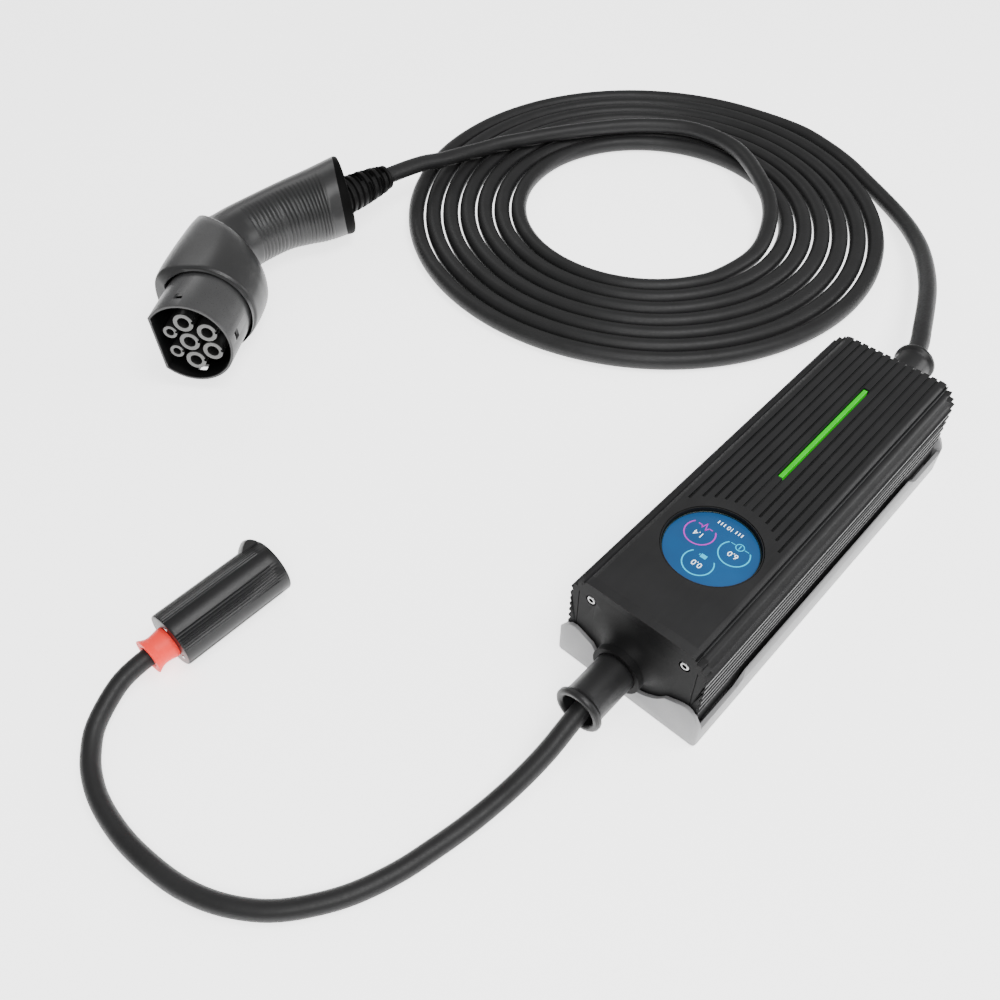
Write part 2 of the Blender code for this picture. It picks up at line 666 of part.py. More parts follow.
def boss_profile():
    """The bell-shaped boss with the sleeve's seat and the way for the conductors, as one closed profile."""
    seat = SLEEVE_RADIUS + GAP
    way = CONDUCTOR_RADIUS + GAP
    ring = BOSS_LENGTH - BOSS_RING
    profile = [(seat, BOSS_LENGTH), (BOSS_NECK_RADIUS, BOSS_LENGTH), (BOSS_NECK_RADIUS, ring),
               (BOSS_NECK_RADIUS - BOSS_STEP, ring)]
    rise = BOSS_BASE_RADIUS - BOSS_NECK_RADIUS + BOSS_STEP
    run = BOSS_LENGTH - BOSS_RING - BOSS_STEP
    for i in range(5):
        turn = math.radians(90 * i / 4)
        profile.append((BOSS_BASE_RADIUS - rise * math.cos(turn), run * (1 - math.sin(turn))))
    profile += [(BOSS_BASE_RADIUS, -CAP_THICKNESS / 2), (way, -CAP_THICKNESS / 2), (way, SLEEVE_SEAT),
                (seat, SLEEVE_SEAT)]
    return profile


def make_cap(end, frame):
    """An end plate with the housing's outline, a bell-shaped cable boss and four screw recesses."""
    flip = 1 if end == "front" else -1
    outline = [(x * flip, (z - CABLE_Z) * flip) for x, z in box_outline()]
    places = [(x, flip * (z - CABLE_Z)) for x, z in SCREW_PLACES]
    loops = [outline, circle((0, 0), CONDUCTOR_RADIUS + 2 * GAP, 12)]
    loops += [circle(place, SCREW_SHANK + GAP, 8) for place in places]
    cap = plate(end + "_end_cap", loops, CAP_THICKNESS, frame @ Matrix.Translation((0, 0, -CAP_THICKNESS)))
    boss = turned(end + "_boss", boss_profile(), frame, 28, closed=True)
    heads = rods(end + "_screw_recesses", places, SCREW_RECESS_RADIUS, -SCREW_RECESS, OVERLAP, frame, 12)
    half_line = CAP_LINE_WIDTH / 2
    low, high = sorted((flip * CAP_LINE_LOW, flip * CAP_LINE_HIGH))
    lines = [((x - half_line, low, -CAP_LINE_WIDTH), (x + half_line, high, OVERLAP))
             for x in (-CAP_LINE_X, CAP_LINE_X)]
    if end == "rear":
        cut(cap, groove_cutter())
    join(cap, boss)
    cut(cap, heads, boxes(end + "_cap_lines", lines, frame))
    return finish(cap, end + "_end_cap", "cap")


def chamfered_loop(inset, chamfer):
    x = BOX_HALF_WIDTH - inset
    low, high = BOX_BOTTOM + inset, BOX_TOP - inset
    half = [(x - chamfer, high), (x, high - chamfer), (x, low + chamfer), (x - chamfer, low)]
    return mirrored(half)


def make_gasket(end, front_face):
    frame = SECTION.copy()
    frame.translation = Vector((0, front_face + GASKET_THICKNESS, 0))
    loops = [chamfered_loop(GASKET_INSET, 0.0090), chamfered_loop(GASKET_INSET + GASKET_WIDTH, 0.0085)]
    return finish(plate(end + "_gasket", loops, GASKET_THICKNESS, frame), end + "_gasket", "rubber")


def make_screws(end, frame):
    flip = 1 if end == "front" else -1
    seat = -SCREW_RECESS + GAP
    profile = [(0.0010, seat + SCREW_HEAD_HEIGHT - 0.0006), (0.0012, seat + SCREW_HEAD_HEIGHT),
               (SCREW_HEAD - 0.0003, seat + SCREW_HEAD_HEIGHT),
                (SCREW_HEAD, seat + SCREW_HEAD_HEIGHT - 0.0004),
               (SCREW_HEAD, seat), (SCREW_SHANK, seat), (SCREW_SHANK, seat - SCREW_LENGTH + 0.0010),
               (0.0, seat - SCREW_LENGTH)]
    profile = [(0.0, seat + SCREW_HEAD_HEIGHT - 0.0006)] + profile
    for number, (x, z) in enumerate(SCREW_PLACES, 1):
        place = frame @ Matrix.Translation((x, flip * (z - CABLE_Z), 0))
        name = f"{end}_cap_screw_{number}"
        finish(turned(name, profile, place, 10), name, "steel")


def make_sleeve(end, frame, cable):
    """A rubber sleeve with a flared lip; its bore narrows to the cable at its root."""
    fit = cable / 2 + GAP
    lip = SLEEVE_LENGTH - LIP_LENGTH
    profile = [
        (SLEEVE_BORE + 0.0012, SLEEVE_LENGTH), (LIP_RADIUS - 0.0010, SLEEVE_LENGTH),
        (LIP_RADIUS, SLEEVE_LENGTH - 0.0010), (LIP_RADIUS, lip + 0.0010), (LIP_RADIUS - 0.0010, lip),
        (SLEEVE_RADIUS + 0.0004, lip - 0.0006), (SLEEVE_RADIUS, lip - 0.0030),
        (SLEEVE_RADIUS, SLEEVE_SEAT + GAP), (fit, SLEEVE_SEAT + GAP),
        (fit, SLEEVE_LENGTH - SLEEVE_BORE_DEPTH - SLEEVE_CONE),
        (SLEEVE_BORE, SLEEVE_LENGTH - SLEEVE_BORE_DEPTH), (SLEEVE_BORE, SLEEVE_LENGTH - 0.0012),
    ]
    name = end + "_cable_sleeve"
    return finish(turned(name, profile, frame, 28, closed=True), name, "rubber")


def make_display():
    place = display_frame()
    ledge = ledge_height()
    fit = DISPLAY_RADIUS - GAP
    panel_low = ledge + GAP
    panel = rods("display_panel", [(0, 0)], fit, panel_low, panel_low + PANEL_THICKNESS - GAP, place, 48)
    finish(panel, "display_panel", "component")
    window_low = panel_low + PANEL_THICKNESS
    window = rods("display_window", [(0, 0)], fit, window_low, window_low + WINDOW_THICKNESS, place, 48)
    finish(window, "display_window", "window")
    ring_top = BOX_TOP - GAP
    profile = [(DISPLAY_RADIUS, ring_top), (DISPLAY_RECESS - GAP, ring_top),
               (DISPLAY_RECESS - GAP, panel_low), (DISPLAY_RADIUS, panel_low)]
    finish(turned("display_seal_ring", profile, place, 48, closed=True), "display_seal_ring", "rubber")
    half = SCREW_X - SCREW_BOSS - DISPLAY_BOARD_GAP
    top = ROOF_Z - DISPLAY_BOSS_DEPTH - GAP
    board = box("display_board", (-half, -half, top - PCB_THICKNESS), (half, half, top), place)
    finish(board, "display_board", "board")


def make_light():
    half = LIGHT_WIDTH / 2
    bar = box("light_bar", (-half, LIGHT_START, ROOF_Z), (half, LIGHT_END, BOX_TOP - LIGHT_DROP))
    finish(bar, "light_bar", "light")
    board_half = LIGHT_BOARD_WIDTH / 2
    top = ROOF_Z - GAP
    board = box("light_bar_board", (-board_half, LIGHT_START - 0.004, top - PCB_THICKNESS),
                (board_half, LIGHT_END + 0.004, top))
    finish(board, "light_bar_board", "board")


def make_electronics():
    """The main board on its ledges and the large parts that stand on it."""
    half_x = BOX_HALF_WIDTH - WALL - GAP
    board = box("main_circuit_board", (-half_x, PCB_START, PCB_HEIGHT), (half_x, PCB_END, PCB_TOP))
    finish(board, "main_circuit_board", "board")
    low = PCB_TOP + GAP
    terminal = (TERMINAL_WIDTH, TERMINAL_LENGTH, TERMINAL_HEIGHT)
    relay_y = PCB_START + 0.0910
    supply_y = PCB_START + 0.1460
    blocks = {                  # middle, size and finish of each part with flat sides
        "supply_terminal_block": ((0.0, SUPPLY_TERMINAL_Y), terminal, "component"),
        "output_terminal_block": ((0.0, OUTPUT_TERMINAL_Y), terminal, "component"),
        "relay_line": ((-0.0130, relay_y), (0.0190, 0.0290, 0.0160), "component"),
        "relay_neutral": ((0.0130, relay_y), (0.0190, 0.0290, 0.0160), "component"),
        "power_transformer": ((0.0187 - half_x, supply_y), (0.0240, 0.0240, 0.0200), "brass"),
    }
    for name, ((x, y), (width, length, height), finish_name) in blocks.items():
        block = box(name, (x - width / 2, y - length / 2, low), (x + width / 2, y + length / 2, low + height))
        bevel = block.modifiers.new("edges", "BEVEL")
        bevel.width = 0.0008
        bevel.segments = 1
        finish(block, name, finish_name)
    capacitor = (half_x - 0.0177, supply_y)
    can = rods("filter_capacitor", [capacitor], CAPACITOR_RADIUS, low, low + CAPACITOR_HEIGHT, None, 20)
    finish(can, "filter_capacitor", "component")
    profile = [(SENSOR_BORE, low + SENSOR_HEIGHT), (SENSOR_RADIUS, low + SENSOR_HEIGHT), (SENSOR_RADIUS, low),
               (SENSOR_BORE, low)]
    sensor = Matrix.Translation((0, PCB_START + 0.0510, 0))
    ring = turned("leakage_sensor_ring", profile, sensor, 24, closed=True)
    finish(ring, "leakage_sensor_ring", "component")


def make_conductors(end, frame, block_face):
    """The cable's cores from its jacket's end to the face of the terminal block."""
    reach = abs(frame.translation.y - block_face) - GAP
    rod = rods(end + "_conductors", [(0, 0)], CONDUCTOR_RADIUS, -reach, SLEEVE_SEAT, frame, 12)
    finish(rod, end + "_conductors", "brass")


def make_coil():
    """One ring that holds all the turns of the vehicle cable."""
    top = VEHICLE_CABLE
    profile = [
        (COIL_INNER, top - COIL_EDGE), (COIL_INNER + COIL_EDGE, top), (COIL_OUTER - COIL_EDGE, top),
        (COIL_OUTER, top - COIL_EDGE), (COIL_OUTER, COIL_EDGE), (COIL_OUTER - COIL_EDGE, 0.0),
        (COIL_INNER + COIL_EDGE, 0.0), (COIL_INNER, COIL_EDGE),
    ]
    ring = turned("vehicle_cable_coil", profile, Matrix.Translation((*COIL_CENTRE, 0)), 56, closed=True)
    finish(ring, "vehicle_cable_coil", "cable")


def make_cables(boot):
    start = Vector((0, BOX_FRONT - SLEEVE_SEAT - GAP, CABLE_Z))
    lip = Vector(COUPLER_PLACE) - Vector((0, COLLAR_LENGTH, 0))
    behind_lip = lip - Vector((0, CABLE_STRAIGHT, 0))
    in_collar = lip + Vector((0, CABLE_IN_COLLAR, 0))
    supply = [start, *smooth_route([*SUPPLY_ROUTE, behind_lip], CABLE_STEP * SUPPLY_CABLE), in_collar]
    finish(tube("supply_cable", supply, SUPPLY_CABLE / 2), "supply_cable", "cable")
    start = Vector((0, BOX_REAR + SLEEVE_SEAT + GAP, CABLE_Z))
    lead = [start, *smooth_route(REAR_ROUTE, CABLE_STEP * VEHICLE_CABLE)]
    finish(tube("vehicle_cable_lead", lead, VEHICLE_CABLE / 2), "vehicle_cable_lead", "cable")
    at_boot, in_boot = [boot @ Vector((0, 0, BOOT_REACH + z)) for z in (0.0030, -CABLE_IN_BOOT)]
    tail = [*smooth_route([*TAIL_ROUTE, at_boot], CABLE_STEP * VEHICLE_CABLE), in_boot]
    finish(tube("vehicle_cable_tail", tail, VEHICLE_CABLE / 2), "vehicle_cable_tail", "cable")


def connector_frame():
    flat = math.cos(CONNECTOR_PITCH)
    out = Vector((flat * math.cos(CONNECTOR_HEADING), flat * math.sin(CONNECTOR_HEADING),
                  math.sin(CONNECTOR_PITCH)))
    frame = along(CONNECTOR_PLACE, out, (0, 0, 1))
    return frame @ Matrix.Rotation(CONNECTOR_ROLL, 4, "Z")


def flat_round(radius, flat, count):
    """A circle with one flat side, towards +Y."""
    turn = math.degrees(math.asin(flat / radius))
    return arc((0, 0), radius, 180 - turn, 360 + turn, count)


def make_shroud(frame):
    outer = flat_round(SHROUD_RADIUS, SHROUD_FLAT, 40)
    inner = flat_round(SHROUD_RADIUS - SHROUD_WALL, SHROUD_FLAT - SHROUD_WALL, 40)
    back = frame @ Matrix.Translation((0, 0, -SHROUD_DEPTH))
    shroud = plate("connector_shroud", [outer, inner], SHROUD_DEPTH, back)
    half = WINDOW_SLOT / 2
    for angle in WINDOW_SLOT_ANGLES:
        turn = Matrix.Rotation(math.radians(angle), 4, "Z")
        low = (SHROUD_RADIUS - 3 * SHROUD_WALL, -half, -WINDOW_SLOT_DEPTH - half)
        high = (SHROUD_RADIUS + SHROUD_WALL, half, -WINDOW_SLOT_DEPTH + half)
        cut(shroud, box(f"shroud_window_{angle}", low, high, frame @ turn))
    finish(shroud, "connector_shroud", "connector")


def make_carrier(frame):
    """The insulating block with a tower round each pole."""
    radius = SHROUD_RADIUS - SHROUD_WALL - GAP
    flat = SHROUD_FLAT - SHROUD_WALL - GAP
    floor = -SHROUD_DEPTH + CARRIER_BASE
    base = plate("contact_carrier", [flat_round(radius, flat, 32)], CARRIER_BASE,
                 frame @ Matrix.Translation((0, 0, -SHROUD_DEPTH)))
    for pole, place in POLES.items():
        signal = pole in SIGNAL_POLES
        size, bore = (SIGNAL_TOWER, SIGNAL_BORE) if signal else (POWER_TOWER, POWER_BORE)
        count = 10 if signal else 12
        tower = rods(pole + "_tower", [place], size, floor - OVERLAP, -TOWER_DROP, frame, count)
        hole = rods(pole + "_bore", [place], bore, floor + OVERLAP, 0, frame, count)
        key = box(pole + "_key", (place[0] - POLE_KEY_WIDTH / 2, place[1] - size - OVERLAP, -POLE_KEY_DEPTH),
                  (place[0] + POLE_KEY_WIDTH / 2, place[1] - bore - 0.0006, 0), frame)
        join(base, tower)
        cut(base, hole, key)
    finish(base, "contact_carrier", "carrier")
    for pole, place in POLES.items():
        bore = SIGNAL_BORE if pole in SIGNAL_POLES else POWER_BORE
        outer = bore - GAP
        low = floor + OVERLAP + GAP
        profile = [(outer - CONTACT_WALL, -CONTACT_DROP), (outer, -CONTACT_DROP), (outer, low),
                   (0.0, low)]
        profile = [(0.0, low + 0.0040), (outer - CONTACT_WALL, low + 0.0040)] + profile
        name = "contact_" + pole
        finish(turned(name, profile, frame @ Matrix.Translation((*place, 0)), 12), name, "brass")


def handle_point(station, wall, angle):
    """A point on the handle, its angle measured round from the side of the connector."""
    back, down, tilt, height, thickness, square = station
    turn = math.radians(tilt)
    power = 2 / square if math.sin(angle) > 0 else 1
    across = (thickness - wall) * math.copysign(abs(math.cos(angle)) ** power, math.cos(angle))
    up = (height - wall) * math.copysign(abs(math.sin(angle)) ** power, math.sin(angle))
    return Vector((across, -down + up * math.cos(turn), -back - up * math.sin(turn)))


def mouth_loop(turns, back):
    """The head's mouth round the shroud, with a point on each corner of its flat side."""
    radius, flat = SHROUD_RADIUS + HEAD_MOUTH_GAP, SHROUD_FLAT + HEAD_MOUTH_GAP
    corner = math.asin(flat / radius)
    nearest = min(turns, key=lambda turn: abs(turn - corner))
    points = []
    for turn in turns:
        turn = corner if turn == nearest else turn
        reach = min(radius, flat / math.sin(turn)) if turn > 0 else radius
        points.append(Vector((reach * math.cos(turn), reach * math.sin(turn), -back)))
    return points


def handle_ring(station):
    turns = [2 * math.pi * i / HANDLE_POINTS for i in range(HANDLE_POINTS)]
    return [handle_point(station, 0.0, turn) for turn in turns]


def shell_section(station, side, mouth=None):
    """Half of the handle's wall as one closed loop: its outer side, then its inner side back.

    At the head's front, mouth is how far back its inner side is, which fits the shroud there.
    """
    count = HANDLE_POINTS // 2
    turns = [math.pi * i / count - math.pi / 2 for i in range(count + 1)]
    loop = [handle_point(station, 0.0, turn) for turn in turns]
    if mouth is None:
        loop += [handle_point(station, HANDLE_WALL, turn) for turn in reversed(turns)]
    else:
        loop += reversed(mouth_loop(turns, mouth))
    return [Vector((side * max(p.x, GAP / 2), p.y, p.z)) for p in loop]


def skin(name, rings, frame):
    """A closed skin through rings of as many points each."""
    def build(shape):
        rings_made = [[shape.verts.new(p) for p in ring] for ring in rings]
        for a, b in zip(rings_made, rings_made[1:]):
            for i in range(len(a)):
                j = (i + 1) % len(a)
                shape.faces.new((a[i], a[j], b[j], b[i]))
        ends = [shape.faces.new(rings_made[0]), shape.faces.new(rings_made[-1])]
        bmesh.ops.triangulate(shape, faces=ends)
        bmesh.ops.recalc_face_normals(shape, faces=shape.faces)
    return mesh_object(name, build, frame)


def shifted(station, distance):
    """The same station moved along the handle."""
    back, down, *rest = station
    turn = math.radians(rest[0])
    return (back + distance * math.cos(turn), down + distance * math.sin(turn), *rest)


def end_direction(frame):
    tilt = math.radians(HANDLE_AXIS)
    return frame.to_3x3() @ Vector((0, -math.sin(tilt), -math.cos(tilt)))


def make_handle(frame):
    """Two shells that meet on the connector's middle plane, hollow for the contacts' wires."""
    for side, name in ((1, "connector_shell_upper"), (-1, "connector_shell_lower")):
        mouths = [HEAD_MOUTH, HEAD_SEAT] + [None] * (len(HANDLE_STATIONS) - 2)
        sections = [shell_section(station, side, mouth) for station, mouth in zip(HANDLE_STATIONS, mouths)]
        finish(skin(name, sections, frame), name, "connector")
    last = HANDLE_STATIONS[-1]
    start = shifted(last, GAP)
    middle = shifted(last, END_CAP_THICKNESS * 0.6)
    end = shifted(last, END_CAP_THICKNESS)
    end = (*end[:3], end[3] - 0.0030, end[4] - 0.0030, end[5])
    cap = skin("handle_end_cap", [handle_ring(s) for s in (start, middle, end)], frame)
    axis = end_direction(frame)
    centre = frame @ Vector((0, -end[1], -end[0]))
    boot = along(centre, axis, frame.col[0].to_3d())
    hole = rods("end_cap_hole", [(0, 0)], BOOT_ROOT + GAP, -0.030, 0.030, boot, 24)
    cut(cap, hole)
    finish(cap, "handle_end_cap", "cap")
    return boot


def make_boot(frame):
    """The tapered boot that comes out of the end cap, with its ribs."""
    profile = [(BOOT_BORE, BOOT_REACH), (BOOT_TIP, BOOT_REACH)]
    for i in range(BOOT_RIBS):
        low = BOOT_REACH - BOOT_RIBBED * (i + 0.85) / BOOT_RIBS
        high = BOOT_REACH - BOOT_RIBBED * (i + 0.25) / BOOT_RIBS
        radius = BOOT_TIP + (BOOT_ROOT - BOOT_TIP) * (i + 0.5) / BOOT_RIBS
        profile += [(radius, high), (radius + 0.0004, low), (radius - 0.0012, low - 0.0004)]
    profile += [(BOOT_ROOT, BOOT_REACH - BOOT_RIBBED), (BOOT_ROOT, -BOOT_SEAT), (BOOT_BORE, -BOOT_SEAT)]
    finish(turned("cable_boot", profile, frame, 20, closed=True), "cable_boot", "rubber")


def coupler_outline():
    """A circle with groups of shallow flutes."""
    flutes = set()
    for group in range(COUPLER_FLUTE_GROUPS):
        middle = COUPLER_FLUTE_FIRST + group * 360 // COUPLER_FLUTE_GROUPS
        flutes.update((middle + k * COUPLER_FLUTE_PITCH) % 360 for k in (-1, 0, 1))
    points = []
    for degree in range(0, 360, COUPLER_POINT_STEP):
        sunk = COUPLER_FLUTE_DEPTH if degree in flutes else 0.0
        angle = math.radians(degree)
        radius = COUPLER_RADIUS - sunk
        points.append((radius * math.cos(angle), radius * math.sin(angle)))
    return points


def round_places(radius, angles):
    return [(radius * math.cos(math.radians(a)), radius * math.sin(math.radians(a))) for a in angles]


def make_coupler():
    frame = along(COUPLER_PLACE, (0, 1, 0), (-1, 0, 0))
    inner = COUPLER_RADIUS - COUPLER_WALL
    cover_top = COUPLER_COVER
    shell_low = cover_top + GAP
    shell_frame = frame @ Matrix.Translation((0, 0, shell_low))
    tube_loops = [coupler_outline(), circle((0, 0), inner, 30)]
    shell = plate("coupler_shell", tube_loops, COUPLER_LENGTH - shell_low, shell_frame)
    finish(shell, "coupler_shell", "cap")
    screws = round_places(COUPLER_SCREW_CIRCLE, COUPLER_SCREW_ANGLES)
    screw_loops = [circle(place, COUPLER_SCREW + GAP, 8) for place in screws]
    cover_loops = [circle((0, 0), COUPLER_RADIUS - COUPLER_COVER_INSET, 40)]
    cover_loops.append(circle((0, 0), CONDUCTOR_RADIUS + GAP, 12))
    cover = plate("coupler_back_cover", cover_loops + screw_loops, cover_top, frame)
    finish(cover, "coupler_back_cover", "cap")
    for number, (x, y) in enumerate(screws, 1):
        profile = [(0.0, -GAP), (COUPLER_SCREW, -GAP), (COUPLER_SCREW, COUPLER_SCREW_LENGTH),
                   (0.0, COUPLER_SCREW_LENGTH)]
        name = f"coupler_screw_{number}"
        thing = turned(name, list(reversed(profile)), frame @ Matrix.Translation((x, y, 0)), 10)
        finish(thing, name, "steel")
    insert_top = COUPLER_LENGTH - COUPLER_SOCKET
    pins = round_places(COUPLER_PIN_CIRCLE, (90, 210, 330))
    insert_loops = [circle((0, 0), inner - GAP, 30)] + screw_loops
    insert_loops += [circle(place, COUPLER_PIN + GAP, 12) for place in pins]
    insert = plate("coupler_insert", insert_loops, insert_top - shell_low, shell_frame)
    finish(insert, "coupler_insert", "component")
    for pole, (x, y) in zip(("earth", "line", "neutral"), pins):
        low, high = shell_low + GAP, insert_top + COUPLER_PIN_REACH
        profile = [(0.0, high), (COUPLER_PIN - 0.0006, high), (COUPLER_PIN, high - 0.0010),
                   (COUPLER_PIN, low), (0.0, low)]
        name = "coupler_pin_" + pole
        finish(turned(name, profile, frame @ Matrix.Translation((x, y, 0)), 12), name, "brass")
    bore = SUPPLY_CABLE / 2 + GAP
    profile = [
        (COLLAR_ROOT, -GAP), (COLLAR_ROOT, -0.0030), (COLLAR_WAIST + 0.0002, -0.0055),
        (COLLAR_WAIST, -0.0075), (COLLAR_WAIST + 0.0004, -0.0095), (COLLAR_LIP, -COLLAR_LENGTH + 0.0006),
        (COLLAR_LIP - 0.0005, -COLLAR_LENGTH), (bore + 0.0008, -COLLAR_LENGTH),
        (bore, -COLLAR_LENGTH + 0.0010), (bore, -0.0040 - GAP), (0.0035, -0.0040), (0.0035, -GAP),
    ]
    finish(turned("coupler_collar", profile, frame, 24, closed=True), "coupler_collar", "collar")
    latch_turn = Matrix.Rotation(math.radians(LATCH_ANGLE), 4, "Z")
    latch_outline = [
        (0.0, 0.0), (LATCH_HEIGHT * 0.35, 0.0005), (LATCH_HEIGHT, LATCH_LENGTH * 0.45),
        (LATCH_HEIGHT, LATCH_LENGTH * 0.62), (LATCH_HEIGHT * 0.4, LATCH_LENGTH * 0.80), (0.0, LATCH_LENGTH),
        (-LATCH_ROOT, LATCH_LENGTH), (-LATCH_ROOT, 0.0),
    ]
    latch_low = COUPLER_LENGTH - COUPLER_RIM - LATCH_LENGTH
    seat = Matrix.Translation((COUPLER_RADIUS + GAP + LATCH_ROOT, LATCH_WIDTH / 2, latch_low))
    upright = Matrix.Rotation(math.radians(90), 4, "X")
    latch = plate("coupler_latch", [latch_outline], LATCH_WIDTH, frame @ latch_turn @ seat @ upright)
    finish(latch, "coupler_latch", "cap")


def make_connector_wires(frame, boot):
    """The bundle of wires from the back of the contact carrier to the cable's end in the boot."""
    places = [(0.0, 0.0, -SHROUD_DEPTH - GAP), (0.0, 0.0, -0.0640), (0.0, 0.0040, -0.0900),
              (0.0, 0.0070, -0.1120), (0.0, -0.0010, -0.1340), (0.0, -0.0200, -0.1560)]
    places = [frame @ Vector(p) for p in places]
    places += [boot @ Vector((0, 0, z)) for z in (-0.0240, -0.0040, 0.0160, BOOT_REACH - CABLE_IN_BOOT - GAP)]
    route = smooth_route(places, 0.0140)
    finish(tube("connector_conductors", route, 0.0042), "connector_conductors", "brass")


def main():
    make_bracket()
    make_housing()
    make_cap("front", FRONT)
    make_cap("rear", REAR)
    make_gasket("front", BOX_FRONT + CAP_THICKNESS + GAP)
    make_gasket("rear", HOUSING_REAR + GAP)
    make_screws("front", FRONT)
    make_screws("rear", REAR)
    make_sleeve("front", FRONT, SUPPLY_CABLE)
    make_sleeve("rear", REAR, VEHICLE_CABLE)
    make_display()
    make_light()
    make_electronics()
    make_conductors("front", FRONT, SUPPLY_TERMINAL_Y - TERMINAL_LENGTH / 2)
    make_conductors("rear", REAR, OUTPUT_TERMINAL_Y + TERMINAL_LENGTH / 2)
    make_coil()
    frame = connector_frame()
    make_shroud(frame)
    make_carrier(frame)
    boot = make_handle(frame)
    make_connector_wires(frame, boot)
    make_boot(boot)
    make_cables(boot)
    make_coupler()


main()
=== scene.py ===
"""Portable EV charger: the looks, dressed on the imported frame"""
import math

import bmesh
import bpy
from mathutils import Matrix, Vector


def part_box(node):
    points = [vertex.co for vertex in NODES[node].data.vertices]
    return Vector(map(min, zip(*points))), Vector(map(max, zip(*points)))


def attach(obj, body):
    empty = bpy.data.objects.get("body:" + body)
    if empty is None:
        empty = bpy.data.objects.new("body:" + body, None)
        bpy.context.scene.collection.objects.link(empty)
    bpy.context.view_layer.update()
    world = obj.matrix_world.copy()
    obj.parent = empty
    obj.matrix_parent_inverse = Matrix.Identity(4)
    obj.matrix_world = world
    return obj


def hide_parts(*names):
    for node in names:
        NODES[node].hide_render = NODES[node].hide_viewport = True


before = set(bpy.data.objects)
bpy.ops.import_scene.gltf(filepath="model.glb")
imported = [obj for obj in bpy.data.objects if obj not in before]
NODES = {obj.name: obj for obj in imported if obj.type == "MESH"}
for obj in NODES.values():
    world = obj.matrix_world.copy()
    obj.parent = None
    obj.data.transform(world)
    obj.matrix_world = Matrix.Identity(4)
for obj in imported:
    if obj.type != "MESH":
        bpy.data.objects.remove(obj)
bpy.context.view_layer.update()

# Sizes that follow the part, in metres
SUPPLY_CABLE = 0.0098
VEHICLE_CABLE = 0.0120
CABLE_Z = 0.0370
BOX_FRONT = -0.1227
BOX_REAR = 0.1200
BOX_TOP = 0.0660
DISPLAY_Y = -0.0647
DISPLAY_TOP = BOX_TOP - 0.0030
CABLE_START = 0.0095            # out from the box's ends, inside the sleeves
COUPLER_PLACE = Vector((-0.1842, -0.2625, 0.0158))
COUPLER_LENGTH = 0.0660
COUPLER_RADIUS = 0.0155
COLLAR_LENGTH = 0.0130
CONNECTOR_PLACE = Vector((-0.3439, -0.1291, 0.0368))
CONNECTOR_X = Vector((-0.10377, -0.00258, 0.99460))
CONNECTOR_Y = Vector((-0.80778, -0.58321, -0.08579))
CONNECTOR_Z = Vector((0.58028, -0.81232, 0.05844))
SHROUD_RADIUS = 0.0284
SHROUD_FLAT = 0.0212
SHROUD_WALL = 0.0020
SHROUD_DEPTH = 0.0500
HANDLE_AXIS = math.radians(41.5)
END_CAP_THICKNESS = 0.0075
BOOT_REACH = 0.0350
HANDLE_STATIONS = (             # distance back, down, tilt, half height, half thickness, squareness
    (0.0395, -0.0008, 0, 0.0326, 0.0312, 3.3),
    (0.0500, -0.0008, 0, 0.0332, 0.0318, 3.3),
    (0.0640, -0.0009, 8, 0.0335, 0.0318, 3.3),
    (0.0780, -0.0012, 20, 0.0349, 0.0310, 3.3),
    (0.0905, -0.0021, 31, 0.0375, 0.0300, 3.1),
    (0.0985, -0.0031, 36, 0.0388, 0.0286, 2.9),
    (0.1055, -0.0092, 38, 0.0300, 0.0250, 2.4),
    (0.1150, -0.0100, 38, 0.0245, 0.0234, 2.1),
    (0.1289, -0.0040, 39, 0.0228, 0.0228, 2.0),
    (0.1503, 0.0128, 43, 0.0230, 0.0230, 2.0),
    (0.1619, 0.0263, 50, 0.0257, 0.0243, 2.0),
    (0.1720, 0.0398, 60, 0.0286, 0.0260, 2.0),
    (0.1857, 0.0534, 71, 0.0312, 0.0275, 2.0),
)
SHARP_STATIONS = (0, 5)         # the stations where the shape breaks into the next one
SMOOTH_ANGLE = 35.0             # degrees between faces above which an edge is sharp

# Cable routes where they aren't coiled, as in the part
SUPPLY_ROUTE = (
    (0.0, -0.143, 0.037), (0.0002, -0.156, 0.0354), (0.0, -0.168, 0.032),
    (-0.0004, -0.183, 0.0258), (-0.0023, -0.197, 0.019), (-0.0053, -0.2119, 0.0125),
    (-0.009, -0.2292, 0.008), (-0.0132, -0.2465, 0.0057), (-0.0174, -0.263, 0.005),
    (-0.0258, -0.2845, 0.005), (-0.037, -0.302, 0.005), (-0.046, -0.3122, 0.005),
    (-0.0563, -0.3202, 0.005), (-0.0685, -0.327, 0.005), (-0.0835, -0.3323, 0.005),
    (-0.1015, -0.3354, 0.005), (-0.1219, -0.3364, 0.005), (-0.144, -0.3336, 0.005),
    (-0.159, -0.328, 0.0054), (-0.1677, -0.3222, 0.006), (-0.175, -0.315, 0.0075),
    (-0.1815, -0.3018, 0.0106), (-0.1842, -0.291, 0.0135),
)
REAR_ROUTE = (
    (0.0, 0.142, 0.037), (-0.0008, 0.154, 0.037), (-0.0032, 0.168, 0.0367),
    (-0.0068, 0.182, 0.036), (-0.0122, 0.1965, 0.0349), (-0.0208, 0.22, 0.032),
    (-0.0314, 0.2467, 0.028), (-0.0447, 0.2743, 0.023), (-0.0615, 0.303, 0.0174),
    (-0.0815, 0.329, 0.012), (-0.0965, 0.3445, 0.0088), (-0.1088, 0.3548, 0.0072),
)
INTO_COIL = (
    (-0.124, 0.3655, 0.0062), (-0.14, 0.3752, 0.006), (-0.1662, 0.3903, 0.006),
    (-0.192, 0.4008, 0.006), (-0.223, 0.4085, 0.006),
)
